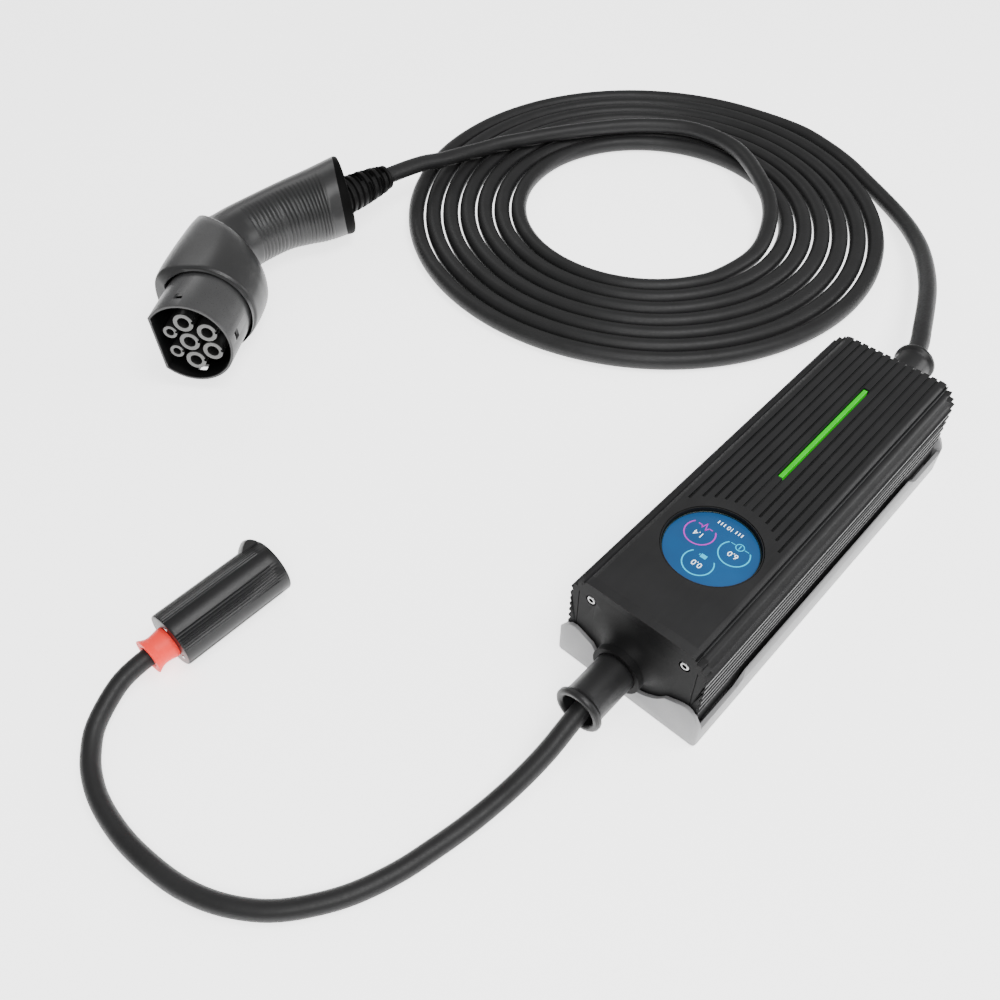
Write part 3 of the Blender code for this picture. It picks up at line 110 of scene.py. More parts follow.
TAIL_ROUTE = (
    (-0.2366, 0.3287, 0.0183), (-0.2575, 0.333, 0.0183), (-0.2754, 0.3321, 0.0183),
    (-0.2918, 0.3265, 0.0183), (-0.3184, 0.3063, 0.0183), (-0.3405, 0.2802, 0.0183),
    (-0.3643, 0.2437, 0.0183), (-0.3768, 0.2203, 0.0183), (-0.3849, 0.2047, 0.0183),
    (-0.3908, 0.187, 0.0183), (-0.3959, 0.1696, 0.0195), (-0.3979, 0.1499, 0.0225),
    (-0.3992, 0.1298, 0.0275),
)
SPIRAL_CENTRE = Vector((-0.2474, 0.2235, 0.0))
SPIRAL_START = 97.0             # angles from +X, in degrees, counter-clockwise from above
SPIRAL_END = 2506.0
SPIRAL_STEP = 10.0
FLOOR_Z = 0.0060                # the middle of a cable that lies on the floor
OVER_Z = 0.0183                 # and of one that lies on another
RISE_ANGLES = (2520, 2531, 2542, 2553, 2564, 2575)
RISE_FROM, RISE_TO = 2512, 2582
IN_HANDLE = (0.0200, 0.0, -0.0300, -0.0700, -0.1050)    # along the boot's axis, out of sight


def connector_point(x, y, z):
    """A point in the connector's own frame, with its mouth at 0 and its back at -Z."""
    return CONNECTOR_PLACE + CONNECTOR_X * x + CONNECTOR_Y * y + CONNECTOR_Z * z


def matrix_of(origin, x, y, z):
    made = Matrix.Identity(4)
    for column, vector in enumerate((x, y, z, origin)):
        for row in range(3):
            made[row][column] = vector[row]
    return made


def angles(count):
    """Equal steps round a circle."""
    return [2 * math.pi * i / count for i in range(count)]


def polar(radius, angle, height):
    return Vector((radius * math.cos(angle), radius * math.sin(angle), height))


CONNECTOR = matrix_of(CONNECTOR_PLACE, CONNECTOR_X, CONNECTOR_Y, CONNECTOR_Z)


# Materials
NOISE_LOW, NOISE_HIGH = 0.3, 0.7    # most of a noise lies between these
BLOTCH = 60.0                       # scale of the slow drift of shade
GLOSS_DRIFT = 0.06                  # how much rougher or smoother a surface gets in places


def shader_of(name, roughness, metallic=0.0, specular=0.5):
    made = bpy.data.materials.new(name)
    made.use_nodes = True
    shader = made.node_tree.nodes["Principled BSDF"]
    shader.inputs["Roughness"].default_value = roughness
    shader.inputs["Metallic"].default_value = metallic
    shader.inputs["Specular IOR Level"].default_value = specular
    return made, shader


def noise(tree, scale, detail=4.0, stretch=(1, 1, 1)):
    """A noise in object space, stretched along an axis where asked."""
    place = tree.nodes.new("ShaderNodeTexCoord")
    mapping = tree.nodes.new("ShaderNodeMapping")
    mapping.inputs["Scale"].default_value = stretch
    tree.links.new(place.outputs["Object"], mapping.inputs["Vector"])
    texture = tree.nodes.new("ShaderNodeTexNoise")
    texture.inputs["Scale"].default_value = scale
    texture.inputs["Detail"].default_value = detail
    tree.links.new(mapping.outputs["Vector"], texture.inputs["Vector"])
    return texture.outputs["Fac"]


def ramp(tree, source, low, high):
    """A colour that runs from low to high with a noise."""
    node = tree.nodes.new("ShaderNodeValToRGB")
    node.color_ramp.elements[0].position = NOISE_LOW
    node.color_ramp.elements[1].position = NOISE_HIGH
    node.color_ramp.elements[0].color = (*low, 1)
    node.color_ramp.elements[1].color = (*high, 1)
    tree.links.new(source, node.inputs["Fac"])
    return node.outputs["Color"]


def spread(tree, source, low, high):
    """A number that runs from low to high with a noise."""
    node = tree.nodes.new("ShaderNodeMapRange")
    node.inputs["From Min"].default_value = NOISE_LOW
    node.inputs["From Max"].default_value = NOISE_HIGH
    node.inputs["To Min"].default_value = low
    node.inputs["To Max"].default_value = high
    tree.links.new(source, node.inputs["Value"])
    return node.outputs["Result"]


def bump(tree, shader, source, strength, depth):
    node = tree.nodes.new("ShaderNodeBump")
    node.inputs["Strength"].default_value = strength
    node.inputs["Distance"].default_value = depth
    tree.links.new(source, node.inputs["Height"])
    tree.links.new(node.outputs["Normal"], shader.inputs["Normal"])


def shade(colour, factor):
    return tuple(min(1.0, c * factor) for c in colour)


def surface(name, colour, rough, grain, depth=0.00004, metallic=0.0, specular=0.5, vary=0.10,
            stretch=(1, 1, 1), strength=0.5):
    """A moulded or coated surface: fine grain, a slow drift of shade and uneven gloss."""
    made, shader = shader_of(name, rough, metallic, specular)
    tree = made.node_tree
    slow = noise(tree, BLOTCH, 5.0)
    fine = noise(tree, grain, 3.0, stretch)
    drift = ramp(tree, slow, shade(colour, 1 - vary), shade(colour, 1 + vary))
    tree.links.new(drift, shader.inputs["Base Color"])
    gloss = spread(tree, fine, rough - GLOSS_DRIFT, rough + GLOSS_DRIFT)
    tree.links.new(gloss, shader.inputs["Roughness"])
    bump(tree, shader, fine, strength, depth)
    return made


HOUSING = surface("anodised housing", (0.015, 0.015, 0.0154), 0.42, 1400.0,
                  specular=0.16, stretch=(1, 0.02, 1), strength=0.25)
CAP = surface("moulded cap", (0.0042, 0.0042, 0.0043), 0.52, 2200.0, 0.00005, specular=0.07)
SLEEVE = surface("satin rubber", (0.01, 0.01, 0.0103), 0.4, 1500.0, specular=0.3)
JACKET = surface("cable jacket", (0.012, 0.012, 0.0123), 0.48, 700.0, 0.0001,
                 specular=0.24, vary=0.14)
BRACKET = surface("powder coated sheet", (0.205, 0.205, 0.208), 0.45, 1100.0, 0.00005, vary=0.04)
STEEL = surface("zinc plated steel", (0.38, 0.38, 0.38), 0.3, 1800.0, 0.00003, metallic=1.0)
SHELL = surface("moulded connector", (0.018, 0.018, 0.0183), 0.36, 1700.0, 0.00005,
                specular=0.36, vary=0.08)
SHROUD = surface("moulded shroud", (0.04, 0.04, 0.0405), 0.32, 1700.0, specular=0.35, vary=0.08)
# Painted shade: the mouth's inner walls and the carrier's deep base, near black where shade falls
# in the mouth.
PAINTED_MOUTH_SHADE = surface("mouth painted shade", (0.003, 0.003, 0.003), 0.5, 1700.0, specular=0.15)
CARRIER = surface("grey carrier", (0.105, 0.105, 0.103), 0.45, 1900.0, vary=0.08)
# Painted shade: the sides of the carrier's towers, darker than their grey front faces.
SHADED_TOWER_SIDES = surface("carrier sides painted shade", (0.012, 0.012, 0.012), 0.45, 1900.0, vary=0.08)
CONTACT = surface("tinned contact", (0.11, 0.065, 0.035), 0.35, 1500.0, 0.00003, metallic=0.8)
END_CAP = surface("handle end cap", (0.002, 0.002, 0.002), 0.6, 1900.0, specular=0.05)
BOOT = surface("cable boot", (0.004, 0.004, 0.004), 0.55, 1500.0, specular=0.14)
COUPLER = surface("coupler shell", (0.0085, 0.0085, 0.0088), 0.36, 1500.0, 0.00003,
                  specular=0.26, vary=0.12)
CORAL = surface("coral collar", (0.98, 0.04, 0.028), 0.45, 1500.0, specular=0.2, vary=0.02)
# Black of the gaskets and seal ring, also used as painted shade in the screw sockets and the
# latch's opening.
BLACK_AND_SHADE = surface("black and painted shade", (0.004, 0.004, 0.004), 0.6, 900.0, 0.00003, specular=0.3)
BOARD = surface("board lacquer", (0.02, 0.2, 0.08), 0.35, 900.0, 0.00003)
COMPONENT = surface("component moulding", (0.05, 0.05, 0.055), 0.5, 1500.0)


def glowing(name, colour, strength, blotch=80.0):
    """A lit surface, a little uneven."""
    made, shader = shader_of(name, 0.25, specular=0.2)
    tree = made.node_tree
    slow = noise(tree, blotch, 2.0)
    mixed = ramp(tree, slow, shade(colour, 0.92), shade(colour, 1.08))
    tree.links.new(mixed, shader.inputs["Base Color"])
    tree.links.new(mixed, shader.inputs["Emission Color"])
    shader.inputs["Emission Strength"].default_value = strength
    return made


LIGHT = glowing("lit green diffuser", (0.0, 0.32, 0.0), 1.1)
PANEL = glowing("lit blue panel", (0.011, 0.055, 0.150), 0.50, blotch=45.0)
CYAN = glowing("cyan marks", (0.0, 0.30, 0.46), 1.5)
MAGENTA = glowing("magenta marks", (0.34, 0.015, 0.36), 1.0)
WHITE = glowing("white marks", (0.75, 0.85, 0.95), 0.9)
TEAL = surface("display rim", (0.003, 0.016, 0.016), 0.25, 1500.0, 0.00003)


# Pieces
def placed(name, data):
    """A new object in the scene."""
    made = bpy.data.objects.new(name, data)
    bpy.context.scene.collection.objects.link(made)
    return made


def sharpen(thing, angle):
    """Smooth shading up to an angle in degrees."""
    for face in thing.data.polygons:
        face.use_smooth = True
    thing.data.set_sharp_from_angle(angle=math.radians(angle))


def soften(thing, width, method):
    """Rounded edges."""
    modifier = thing.modifiers.new("edges", "BEVEL")
    modifier.width = width
    modifier.segments = 2
    modifier.limit_method = method
    return modifier


def piece(name, mesh, material, smooth=SMOOTH_ANGLE):
    """A visible piece; smooth is the angle of its sharp edges, or 0 for flat faces."""
    made = placed(name, mesh)
    mesh.name = name
    mesh.materials.append(material)
    if smooth:
        sharpen(made, smooth)
    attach(made, "root")
    return made


def evaluated(thing):
    """The mesh of a thing with its modifiers, or of a text."""
    bpy.context.view_layer.update()
    graph = bpy.context.evaluated_depsgraph_get()
    return bpy.data.meshes.new_from_object(thing.evaluated_get(graph))


def mesh_from(points, faces):
    """A mesh whose faces all look outwards."""
    mesh = bpy.data.meshes.new("shape")
    mesh.from_pydata([tuple(p) for p in points], [], faces)
    shape = bmesh.new()
    shape.from_mesh(mesh)
    bmesh.ops.recalc_face_normals(shape, faces=shape.faces)
    shape.to_mesh(mesh)
    shape.free()
    return mesh


def loft(rings, closed_ends=True, loop=False):
    """A skin through rings of as many points each."""
    count = len(rings[0])
    points = [p for ring in rings for p in ring]
    faces = []
    last = len(rings) if loop else len(rings) - 1
    for k in range(last):
        a, b = k * count, ((k + 1) % len(rings)) * count
        for i in range(count):
            j = (i + 1) % count
            faces.append((a + i, a + j, b + j, b + i))
    if closed_ends and not loop:
        faces.append(tuple(range(count)))
        faces.append(tuple(range(len(points) - count, len(points))))
    return mesh_from(points, faces)


def rounded(profile, radius):
    """The profile with each of its corners rounded, except where it meets the axis."""
    steps = 3
    made = []
    count = len(profile)
    for i, corner in enumerate(profile):
        here = Vector(corner)
        before, after = Vector(profile[i - 1]), Vector(profile[(i + 1) % count])
        if here.x <= 1e-6:
            made.append(here)
            continue
        reach = min(radius, (before - here).length * 0.45, (after - here).length * 0.45)
        one = here + (before - here).normalized() * reach
        two = here + (after - here).normalized() * reach
        for k in range(steps + 1):
            t = k / steps
            made.append(one * (1 - t) ** 2 + here * 2 * t * (1 - t) + two * t ** 2)
    return made


def lathe(profile, place, sides, radius):
    """A turned piece: its profile is a closed loop of radius and height, rounded by radius."""
    points, faces, index = [], [], []
    for p in rounded(profile, radius):
        start = len(points)
        if p.x <= 1e-6:
            points.append(place @ Vector((0, 0, p.y)))
            index.append([start] * sides)
        else:
            points += [place @ polar(p.x, turn, p.y) for turn in angles(sides)]
            index.append(range(start, start + sides))
    for k, row in enumerate(index):
        other = index[(k + 1) % len(index)]
        for i in range(sides):
            j = (i + 1) % sides
            face = tuple(dict.fromkeys((row[i], row[j], other[j], other[i])))
            if len(face) > 2:
                faces.append(face)
    return mesh_from(points, faces)


def smooth_path(points, step):
    """Points a step apart on a smooth curve through the given points."""
    points = [Vector(p) for p in points]
    ends = [points[0] * 2 - points[1], *points, points[-1] * 2 - points[-2]]
    dense = []
    fine = 24
    for a, b, c, d in zip(ends, ends[1:], ends[2:], ends[3:]):
        knots = [0.0]
        for p, q in ((a, b), (b, c), (c, d)):
            knots.append(knots[-1] + max(1e-9, (q - p).length) ** 0.5)
        t0, t1, t2, t3 = knots
        for k in range(fine):
            t = t1 + (t2 - t1) * k / fine
            ab = a * ((t1 - t) / (t1 - t0)) + b * ((t - t0) / (t1 - t0))
            bc = b * ((t2 - t) / (t2 - t1)) + c * ((t - t1) / (t2 - t1))
            cd = c * ((t3 - t) / (t3 - t2)) + d * ((t - t2) / (t3 - t2))
            abc = ab * ((t2 - t) / (t2 - t0)) + bc * ((t - t0) / (t2 - t0))
            bcd = bc * ((t3 - t) / (t3 - t1)) + cd * ((t - t1) / (t3 - t1))
            dense.append(abc * ((t2 - t) / (t2 - t1)) + bcd * ((t - t1) / (t2 - t1)))
    dense.append(points[-1])
    total = sum((q - p).length for p, q in zip(dense, dense[1:]))
    count = max(2, round(total / step))
    made, walked, target = [dense[0]], 0.0, total / count
    for p, q in zip(dense, dense[1:]):
        length = (q - p).length
        while length > 0 and walked + length >= target - 1e-12 and len(made) < count:
            made.append(p.lerp(q, (target - walked) / length))
            target += total / count
        walked += length
    return [*made, dense[-1]], total


def cord_curve(name, points, diameter):
    """A round cord through the points."""
    curve = bpy.data.curves.new(name, "CURVE")
    curve.dimensions = "3D"
    curve.bevel_depth = diameter / 2
    curve.bevel_resolution = 6
    curve.use_fill_caps = True
    spline = curve.splines.new("POLY")
    spline.points.add(len(points) - 1)
    for point, place in zip(spline.points, points):
        point.co = (*place, 1)
    spline.use_smooth = True
    curve.materials.append(JACKET)
    made = placed(name, curve)
    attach(made, "root")
    return made


# Camera
CAMERA_PLACE = Vector((0.1279, -0.3563, 0.4440))
CAMERA_FORWARD = Vector((-0.4442, 0.4859, -0.7527))
CAMERA_RIGHT = Vector((0.7382, 0.6746, 0.0))


def make_camera():
    data = bpy.data.cameras.new("camera")
    data.lens = 36.02
    data.sensor_width = 36.0
    data.clip_start = 0.01
    camera = placed("camera", data)
    forward, right = CAMERA_FORWARD.normalized(), CAMERA_RIGHT.normalized()
    up = right.cross(forward).normalized()
    camera.matrix_world = matrix_of(CAMERA_PLACE, right, up, -forward)
    bpy.context.scene.camera = camera


# Cords
def boot_place():
    """The boot's frame: at the end cap's outer face, its Z along the cable."""
    back, down, tilt = HANDLE_STATIONS[-1][:3]
    turn = math.radians(tilt)
    back += END_CAP_THICKNESS * math.cos(turn)
    down += END_CAP_THICKNESS * math.sin(turn)
    origin = connector_point(0, -down, -back)
    axis = (-CONNECTOR_Y * math.sin(HANDLE_AXIS) - CONNECTOR_Z * math.cos(HANDLE_AXIS)).normalized()
    across = CONNECTOR_X.normalized()
    return matrix_of(origin, across, axis.cross(across), axis)


BOOT_FRAME = boot_place()


def coil_point(angle, radius, height):
    """A point on the coil, at an angle in degrees."""
    return SPIRAL_CENTRE + polar(radius, math.radians(angle), height)


def spiral_radius(angle):
    """The radius of the coil, which shrinks by 13.257 mm a turn."""
    return (179.05 - 13.257 * (angle - 222.43) / 360) / 1000


def make_supply_lead():
    """The cord from the box's front to the coupler, and its length."""
    lip = COUPLER_PLACE - Vector((0, COLLAR_LENGTH, 0))
    route = [(0, BOX_FRONT - CABLE_START, CABLE_Z), *SUPPLY_ROUTE, lip - Vector((0, 0.0035, 0)),
             lip + Vector((0, 0.0040, 0))]
    points, length = smooth_path(route, 0.004)
    cord = cord_curve("supply_lead", points, SUPPLY_CABLE)
    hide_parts("supply_cable")
    return cord, length


def make_vehicle_lead():
    """The cord from the box's rear through the coil and on into the handle, and its length."""
    spiral = []
    angle = SPIRAL_START
    while angle <= SPIRAL_END:
        spiral.append(coil_point(angle, spiral_radius(angle), FLOOR_Z))
        angle += SPIRAL_STEP
    rise = []
    for angle in RISE_ANGLES:
        t = (angle - RISE_FROM) / (RISE_TO - RISE_FROM)
        lift = t * t * (3 - 2 * t)
        radius = 0.0937 if angle < 2540 else 0.0930
        rise.append(coil_point(angle, radius, FLOOR_Z + (OVER_Z - FLOOR_Z) * lift))
    rise.append((-0.2169, 0.3176, OVER_Z))
    handle = [BOOT_FRAME @ Vector((0, 0, z)) for z in (BOOT_REACH + 0.0030, *IN_HANDLE)]
    route = [(0, BOX_REAR + CABLE_START, CABLE_Z), *REAR_ROUTE, *INTO_COIL, *spiral, *rise,
             *TAIL_ROUTE, *handle]
    points, length = smooth_path(route, 0.0055)
    cord = cord_curve("vehicle_lead", points, VEHICLE_CABLE)
    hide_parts("vehicle_cable_lead", "vehicle_cable_coil", "vehicle_cable_tail",
                "connector_conductors")
    return cord, length


# Modifiers on the CAD pieces that stay
def smooth_group():
    """Nodes that shade a piece smooth, apart from its sharp edges."""
    group = bpy.data.node_groups.new("smooth by angle", "GeometryNodeTree")
    for direction in ("INPUT", "OUTPUT"):
        group.interface.new_socket("Geometry", in_out=direction, socket_type="NodeSocketGeometry")
    add, join = group.nodes.new, group.links.new
    start, end = add("NodeGroupInput"), add("NodeGroupOutput")
    faces, edges = add("GeometryNodeSetShadeSmooth"), add("GeometryNodeSetShadeSmooth")
    edges.domain = "EDGE"
    edges.inputs["Shade Smooth"].default_value = False
    angle, test = add("GeometryNodeInputMeshEdgeAngle"), add("FunctionNodeCompare")
    test.data_type = "FLOAT"
    test.operation = "GREATER_THAN"
    test.inputs[1].default_value = math.radians(SMOOTH_ANGLE)
    join(angle.outputs["Unsigned Angle"], test.inputs[0])
    join(test.outputs["Result"], edges.inputs["Selection"])
    join(start.outputs[0], faces.inputs["Geometry"])
    join(faces.outputs["Geometry"], edges.inputs["Geometry"])
    join(edges.outputs["Geometry"], end.inputs[0])
    return group


SMOOTH = smooth_group()


def dress(name, material, bevel):
    """A CAD piece that stays: welded, with softened edges and its own material."""
    thing = NODES[name]
    weld = thing.modifiers.new("weld", "WELD")
    weld.merge_threshold = 0.00001
    if bevel:
        edges = soften(thing, bevel, "ANGLE")
        edges.angle_limit = math.radians(32)
        edges.use_clamp_overlap = True
    thing.modifiers.new("smooth", "NODES").node_group = SMOOTH
    slots = thing.material_slots
    for slot in slots:
        slot.material = material
    if not slots:
        thing.data.materials.append(material)


# Connector
def station_at(value):
    """A station on a smooth curve through the given ones: 2.5 lies between 2 and 3."""
    i = min(max(int(value), 0), len(HANDLE_STATIONS) - 2)
    t = value - i
    p1, p2 = HANDLE_STATIONS[i], HANDLE_STATIONS[i + 1]
    first = i in SHARP_STATIONS
    p0 = tuple(2 * a - b for a, b in zip(p1, p2)) if first else HANDLE_STATIONS[i - 1]
    last = i + 2 >= len(HANDLE_STATIONS) or (i + 1) in SHARP_STATIONS
    p3 = tuple(2 * b - a for a, b in zip(p1, p2)) if last else HANDLE_STATIONS[i + 2]
    made = []
    for a, b, c, d in zip(p0, p1, p2, p3):
        made.append(0.5 * (2 * b + (c - a) * t + (2 * a - 5 * b + 4 * c - d) * t * t
                           + (3 * b - a - 3 * c + d) * t * t * t))
    return tuple(made)


def head_point(station, angle, inset=0.0):
    """A point of the head or handle at an angle round a station: squarish above, round below."""
    back, down, tilt, height, thickness, square = station
    turn = math.radians(tilt)
    power = 2 / square if math.sin(angle) > 0 else 1
    across = (thickness - inset) * math.copysign(abs(math.cos(angle)) ** power, math.cos(angle))
    up = (height - inset) * math.copysign(abs(math.sin(angle)) ** power, math.sin(angle))
    return Vector((across, -down + up * math.cos(turn), -back - up * math.sin(turn)))


def d_point(angle, radius, flat, back):
    """A point of a circle with one flat side, towards +Y."""
    reach = min(radius, flat / math.sin(angle)) if math.sin(angle) > 1e-6 else radius
    return polar(reach, angle, -back)


RIBS_FROM = 7.40                # place along the handle's stations where the grip ribs start
RIBS_TO = 11.40
RIB_PITCH = 0.0033
RIB_DEPTH = 0.0007
SEAM_FROM = 6.9                 # and where the seam of the two shells starts
SEAM_ANGLE = 66
SEAM_DEPTH = 0.0003
TURNS = angles(120)             # round the head, the handle and its end cap


def rib_inset(value, angle):
    """How far the handle is set in by its grip ribs, which run round its lower side."""
    if not RIBS_FROM < value < RIBS_TO:
        return 0.0
    wave = abs(math.cos(math.pi * rib_phase(value))) ** 5
    mask = min(1.0, max(0.0, (-0.12 - math.sin(angle)) / 0.35))
    ease = min(1.0, (value - RIBS_FROM) / 0.8, (RIBS_TO - value) / 0.2)
    return RIB_DEPTH * wave * mask * ease


def make_connector():
    """The head and the handle in one skin."""
    first, last = HANDLE_STATIONS[0], HANDLE_STATIONS[-1]
    rings = []
    # The mouth round the shroud, from inside out
    gap = 0.0014
    for grow, back in ((gap, 0.0560), (gap, 0.0372), (gap, 0.0358), (gap + 0.0006, 0.0352)):
        rings.append([CONNECTOR @ d_point(t, SHROUD_RADIUS + grow, SHROUD_FLAT + grow, back)
                      for t in TURNS])
    for inset, back in ((0.0012, -0.0010), (0.0005, -0.0005), (0.0001, 0.0003)):
        rings.append([CONNECTOR @ (head_point(first, t, inset) + Vector((0, 0, -back)))
                      for t in TURNS])
    # The skin, with closer rings where the ribs are
    values = [0.06 + 0.94 * k / 5 for k in range(6)] + [1 + k / 6 for k in range(1, 25)]
    values += [5 + k / 10 for k in range(1, 31)]
    step = 0.0228
    while values[-1] < len(HANDLE_STATIONS) - 1 - step:
        values.append(values[-1] + step)
    values.append(len(HANDLE_STATIONS) - 1.0)
    for value in values:
        station = station_at(value)
        ring = []
        for t in TURNS:
            inset = rib_inset(value, t)
            if SEAM_FROM < value and abs(math.degrees(t) - SEAM_ANGLE) < 0.5:
                inset += SEAM_DEPTH
            ring.append(CONNECTOR @ head_point(station, t, inset))
        rings.append(ring)
    rings.append([CONNECTOR @ head_point(moved(last, 0.0003), t) for t in TURNS])
    shells = piece("connector_body", loft(rings), SHELL, 50)
    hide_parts("connector_shell_upper", "connector_shell_lower")
    return shells


TABLE_STEPS = 200               # places in the table of ribs from one station to the next


def rib_phase(value):
    """How many ribs would lie before this place on the handle."""
    return RIB_TABLE[min(len(RIB_TABLE) - 1, max(0, round(value * TABLE_STEPS)))]


def rib_table():
    """The way along the handle's middle up to each place, in ribs."""
    table, walked, before = [], 0.0, None
    for k in range(TABLE_STEPS * (len(HANDLE_STATIONS) - 1) + 1):
        station = station_at(k / TABLE_STEPS)
        here = Vector((station[0], station[1]))
        if before is not None:
            walked += (here - before).length
        before = here
        table.append(walked / RIB_PITCH)
    return table


RIB_TABLE = rib_table()


def flat_loop(radius, flat, count, back):
    """A circle with one flat side: count steps on the arc and 12 on the flat."""
    corner = math.asin(flat / radius)
    start, end = math.pi - corner, 2 * math.pi + corner
    arc = [polar(radius, start + (end - start) * i / count, -back) for i in range(count + 1)]
    return arc + [arc[-1].lerp(arc[0], k / 12) for k in range(1, 12)]


def moved(station, distance, shrink=0.0):
    """A station further along the handle, and thinner by shrink."""
    back, down, tilt, height, thickness, square = station
    turn = math.radians(tilt)
    return (back + distance * math.cos(turn), down + distance * math.sin(turn), tilt,
            height - shrink, thickness - shrink, square)


def cut(thing, *cutters):
    """Takes the cutters' shapes out of a piece."""
    for cutter in cutters:
        modifier = thing.modifiers.new("cut", "BOOLEAN")
        modifier.operation = "DIFFERENCE"
        modifier.solver = "EXACT"
        modifier.object = cutter
        mesh = evaluated(thing)
        thing.modifiers.clear()
        thing.data = mesh
    for cutter in cutters:
        bpy.data.objects.remove(cutter, do_unlink=True)


def block(low, high, place):
    """A box for cutting, in a frame of its own."""
    points = [place @ Vector((x, y, z)) for x in (low[0], high[0]) for y in (low[1], high[1])
              for z in (low[2], high[2])]
    faces = [(0, 1, 3, 2), (4, 6, 7, 5), (0, 4, 5, 1), (2, 3, 7, 6), (0, 2, 6, 4), (1, 5, 7, 3)]
    return placed("cutter", mesh_from(points, faces))


def flat_ring(inset, count, back):
    """The shroud's outline, set in by inset."""
    loop = flat_loop(SHROUD_RADIUS - inset, SHROUD_FLAT - inset, count, back)
    return [CONNECTOR @ p for p in loop]


def make_shroud():
    """The mouth's wall with its slots, with painted shade on its inner faces."""
    wall, edge = SHROUD_WALL, 0.0005
    rings = [flat_ring(inset, 96, back) for inset, back in (
        (0, SHROUD_DEPTH), (0, edge), (edge * 0.3, edge * 0.3), (edge, 0), (wall - edge, 0),
        (wall - edge * 0.3, edge * 0.3), (wall, edge), (wall, SHROUD_DEPTH))]
    shroud = piece("connector_mouth", loft(rings, loop=True), SHROUD)
    cutters = []
    for angle in (3, 177, 270):
        place = CONNECTOR @ Matrix.Rotation(math.radians(angle), 4, "Z")
        cutters.append(block((0.022, -0.0028, -0.0135), (0.031, 0.0028, -0.0078), place))
    cut(shroud, *cutters)
    # The inner faces get painted shade.
    shroud.data.materials.append(PAINTED_MOUTH_SHADE)
    axis = CONNECTOR_Z.normalized()
    for face in shroud.data.polygons:
        offset = face.center - CONNECTOR_PLACE
        outward = offset - axis * offset.dot(axis)
        inwards = face.normal.dot(outward) < -0.3 * outward.length
        if inwards or outward.length < SHROUD_FLAT - 0.5 * wall:
            face.material_index = 1
    sharpen(shroud, 40)
    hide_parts("connector_shroud")
    return shroud


POLES = (                       # across, towards the flat side, outer radius, bore
    (0.0, 0.0, 0.0064, 0.0037), (-0.0141, 0.0, 0.0064, 0.0037), (0.0141, 0.0, 0.0064, 0.0037),
    (-0.0069, -0.0134, 0.0064, 0.0037), (0.0069, -0.0134, 0.0064, 0.0037),
    (0.00725, 0.0107, 0.0045, 0.00245), (-0.00725, 0.0107, 0.0045, 0.00245),
)


def make_carrier():
    """The block with a tower round each pole, each with its key slot, with painted shade on sides
    and base.
    """
    inset, top, foot = 0.0024, -0.0021, -0.0445
    shape = bmesh.new()
    shape.from_mesh(loft([flat_ring(inset, 60, 0.0495), flat_ring(inset, 60, 0.0440)]))
    for x, y, radius, bore in POLES:
        place = CONNECTOR @ Matrix.Translation((x, y, 0))
        profile = [(bore, top), (radius, top), (radius, foot), (bore, foot)]
        tower = placed("tower", lathe(profile, place, 48, 0.00035))
        half = 0.0010 if radius > 0.005 else 0.0007
        cut(tower, block((-half, -radius - 0.001, -0.0070), (half, -radius + 0.0012, 0.001), place))
        shape.from_mesh(tower.data)
        bpy.data.objects.remove(tower, do_unlink=True)
    mesh = bpy.data.meshes.new("shape")
    shape.to_mesh(mesh)
    shape.free()
    towers = piece("contact_towers", mesh, SHADED_TOWER_SIDES)
    mesh.materials.append(CARRIER)
    mesh.materials.append(PAINTED_MOUTH_SHADE)
    # Front faces keep the grey; the deep base gets the darker painted shade, the rest painted
    # shade.
    axis = CONNECTOR_Z.normalized()
    for face in mesh.polygons:
        depth = (face.center - CONNECTOR_PLACE).dot(axis)
        if depth > -0.0027 and face.normal.dot(axis) > 0.3:
            face.material_index = 1
        elif depth < -0.0435:
            face.material_index = 2
    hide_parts("contact_carrier")
    return towers


def make_end_cap():
    """The handle's end cap, a wedge that is thinner at its top."""
    last = HANDLE_STATIONS[-1]
    rings = []
    for distance, shrink in ((0.0003, 0.0), (0.0030, 0.0), (0.0055, 0.0004), (0.0068, 0.0012),
                             (END_CAP_THICKNESS, 0.0026)):
        rings.append([CONNECTOR @ head_point(
            moved(last, distance * (0.65 - 0.35 * math.sin(t)), shrink), t) for t in TURNS])
    made = piece("handle_cap", loft(rings), END_CAP, 45)
    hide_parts("handle_end_cap")
    return made


BOOT_STEPS = (                  # from the tip: distance out from the cap's face, radius
    (0.0350, 0.0088), (0.0300, 0.0101), (0.0248, 0.0109), (0.0196, 0.0116), (0.0144, 0.0122),
    (0.0092, 0.0127), (0.0040, 0.0130), (-0.0012, 0.0132), (-0.0064, 0.0134),
)
BOOT_FOOT = -0.0116
BOOT_PROFILE = (                # along one step from its top, and how far it is set in there
    (0.0, 0.0012), (0.04, 0.0003), (0.10, 0.0), (0.35, -0.0002), (0.60, -0.0003), (0.70, 0.0004),
    (0.74, 0.0014), (0.96, 0.0014),
)
WINDOW_DEPTH = 0.0020


def make_boot():
    """The stepped boot; the windows in its steps are turned a quarter from one to the next."""
    heights = []
    for step, (top, radius) in enumerate(BOOT_STEPS):
        last = step + 1 == len(BOOT_STEPS)
        length = top - (BOOT_FOOT if last else BOOT_STEPS[step + 1][0])
        for t, drop in BOOT_PROFILE:
            inset = min(drop, 0.0) if last and t > 0.5 else drop
            heights.append((top - length * t, radius - inset, step, t))
    rings = []
    for height, radius, step, t in heights:
        ring = []
        for turn in angles(72):
            beside = abs(math.cos(turn)) if step % 2 else abs(math.sin(turn))
            window = beside > 0.80 and 0.08 < t < 0.5 and 0 < step < 6
            reach = radius - (WINDOW_DEPTH if window else 0.0)
            ring.append(BOOT_FRAME @ polar(reach, turn, height))
        rings.append(ring)
    made = piece("ribbed_boot", loft(rings), BOOT, 40)
    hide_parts("cable_boot")
    return made


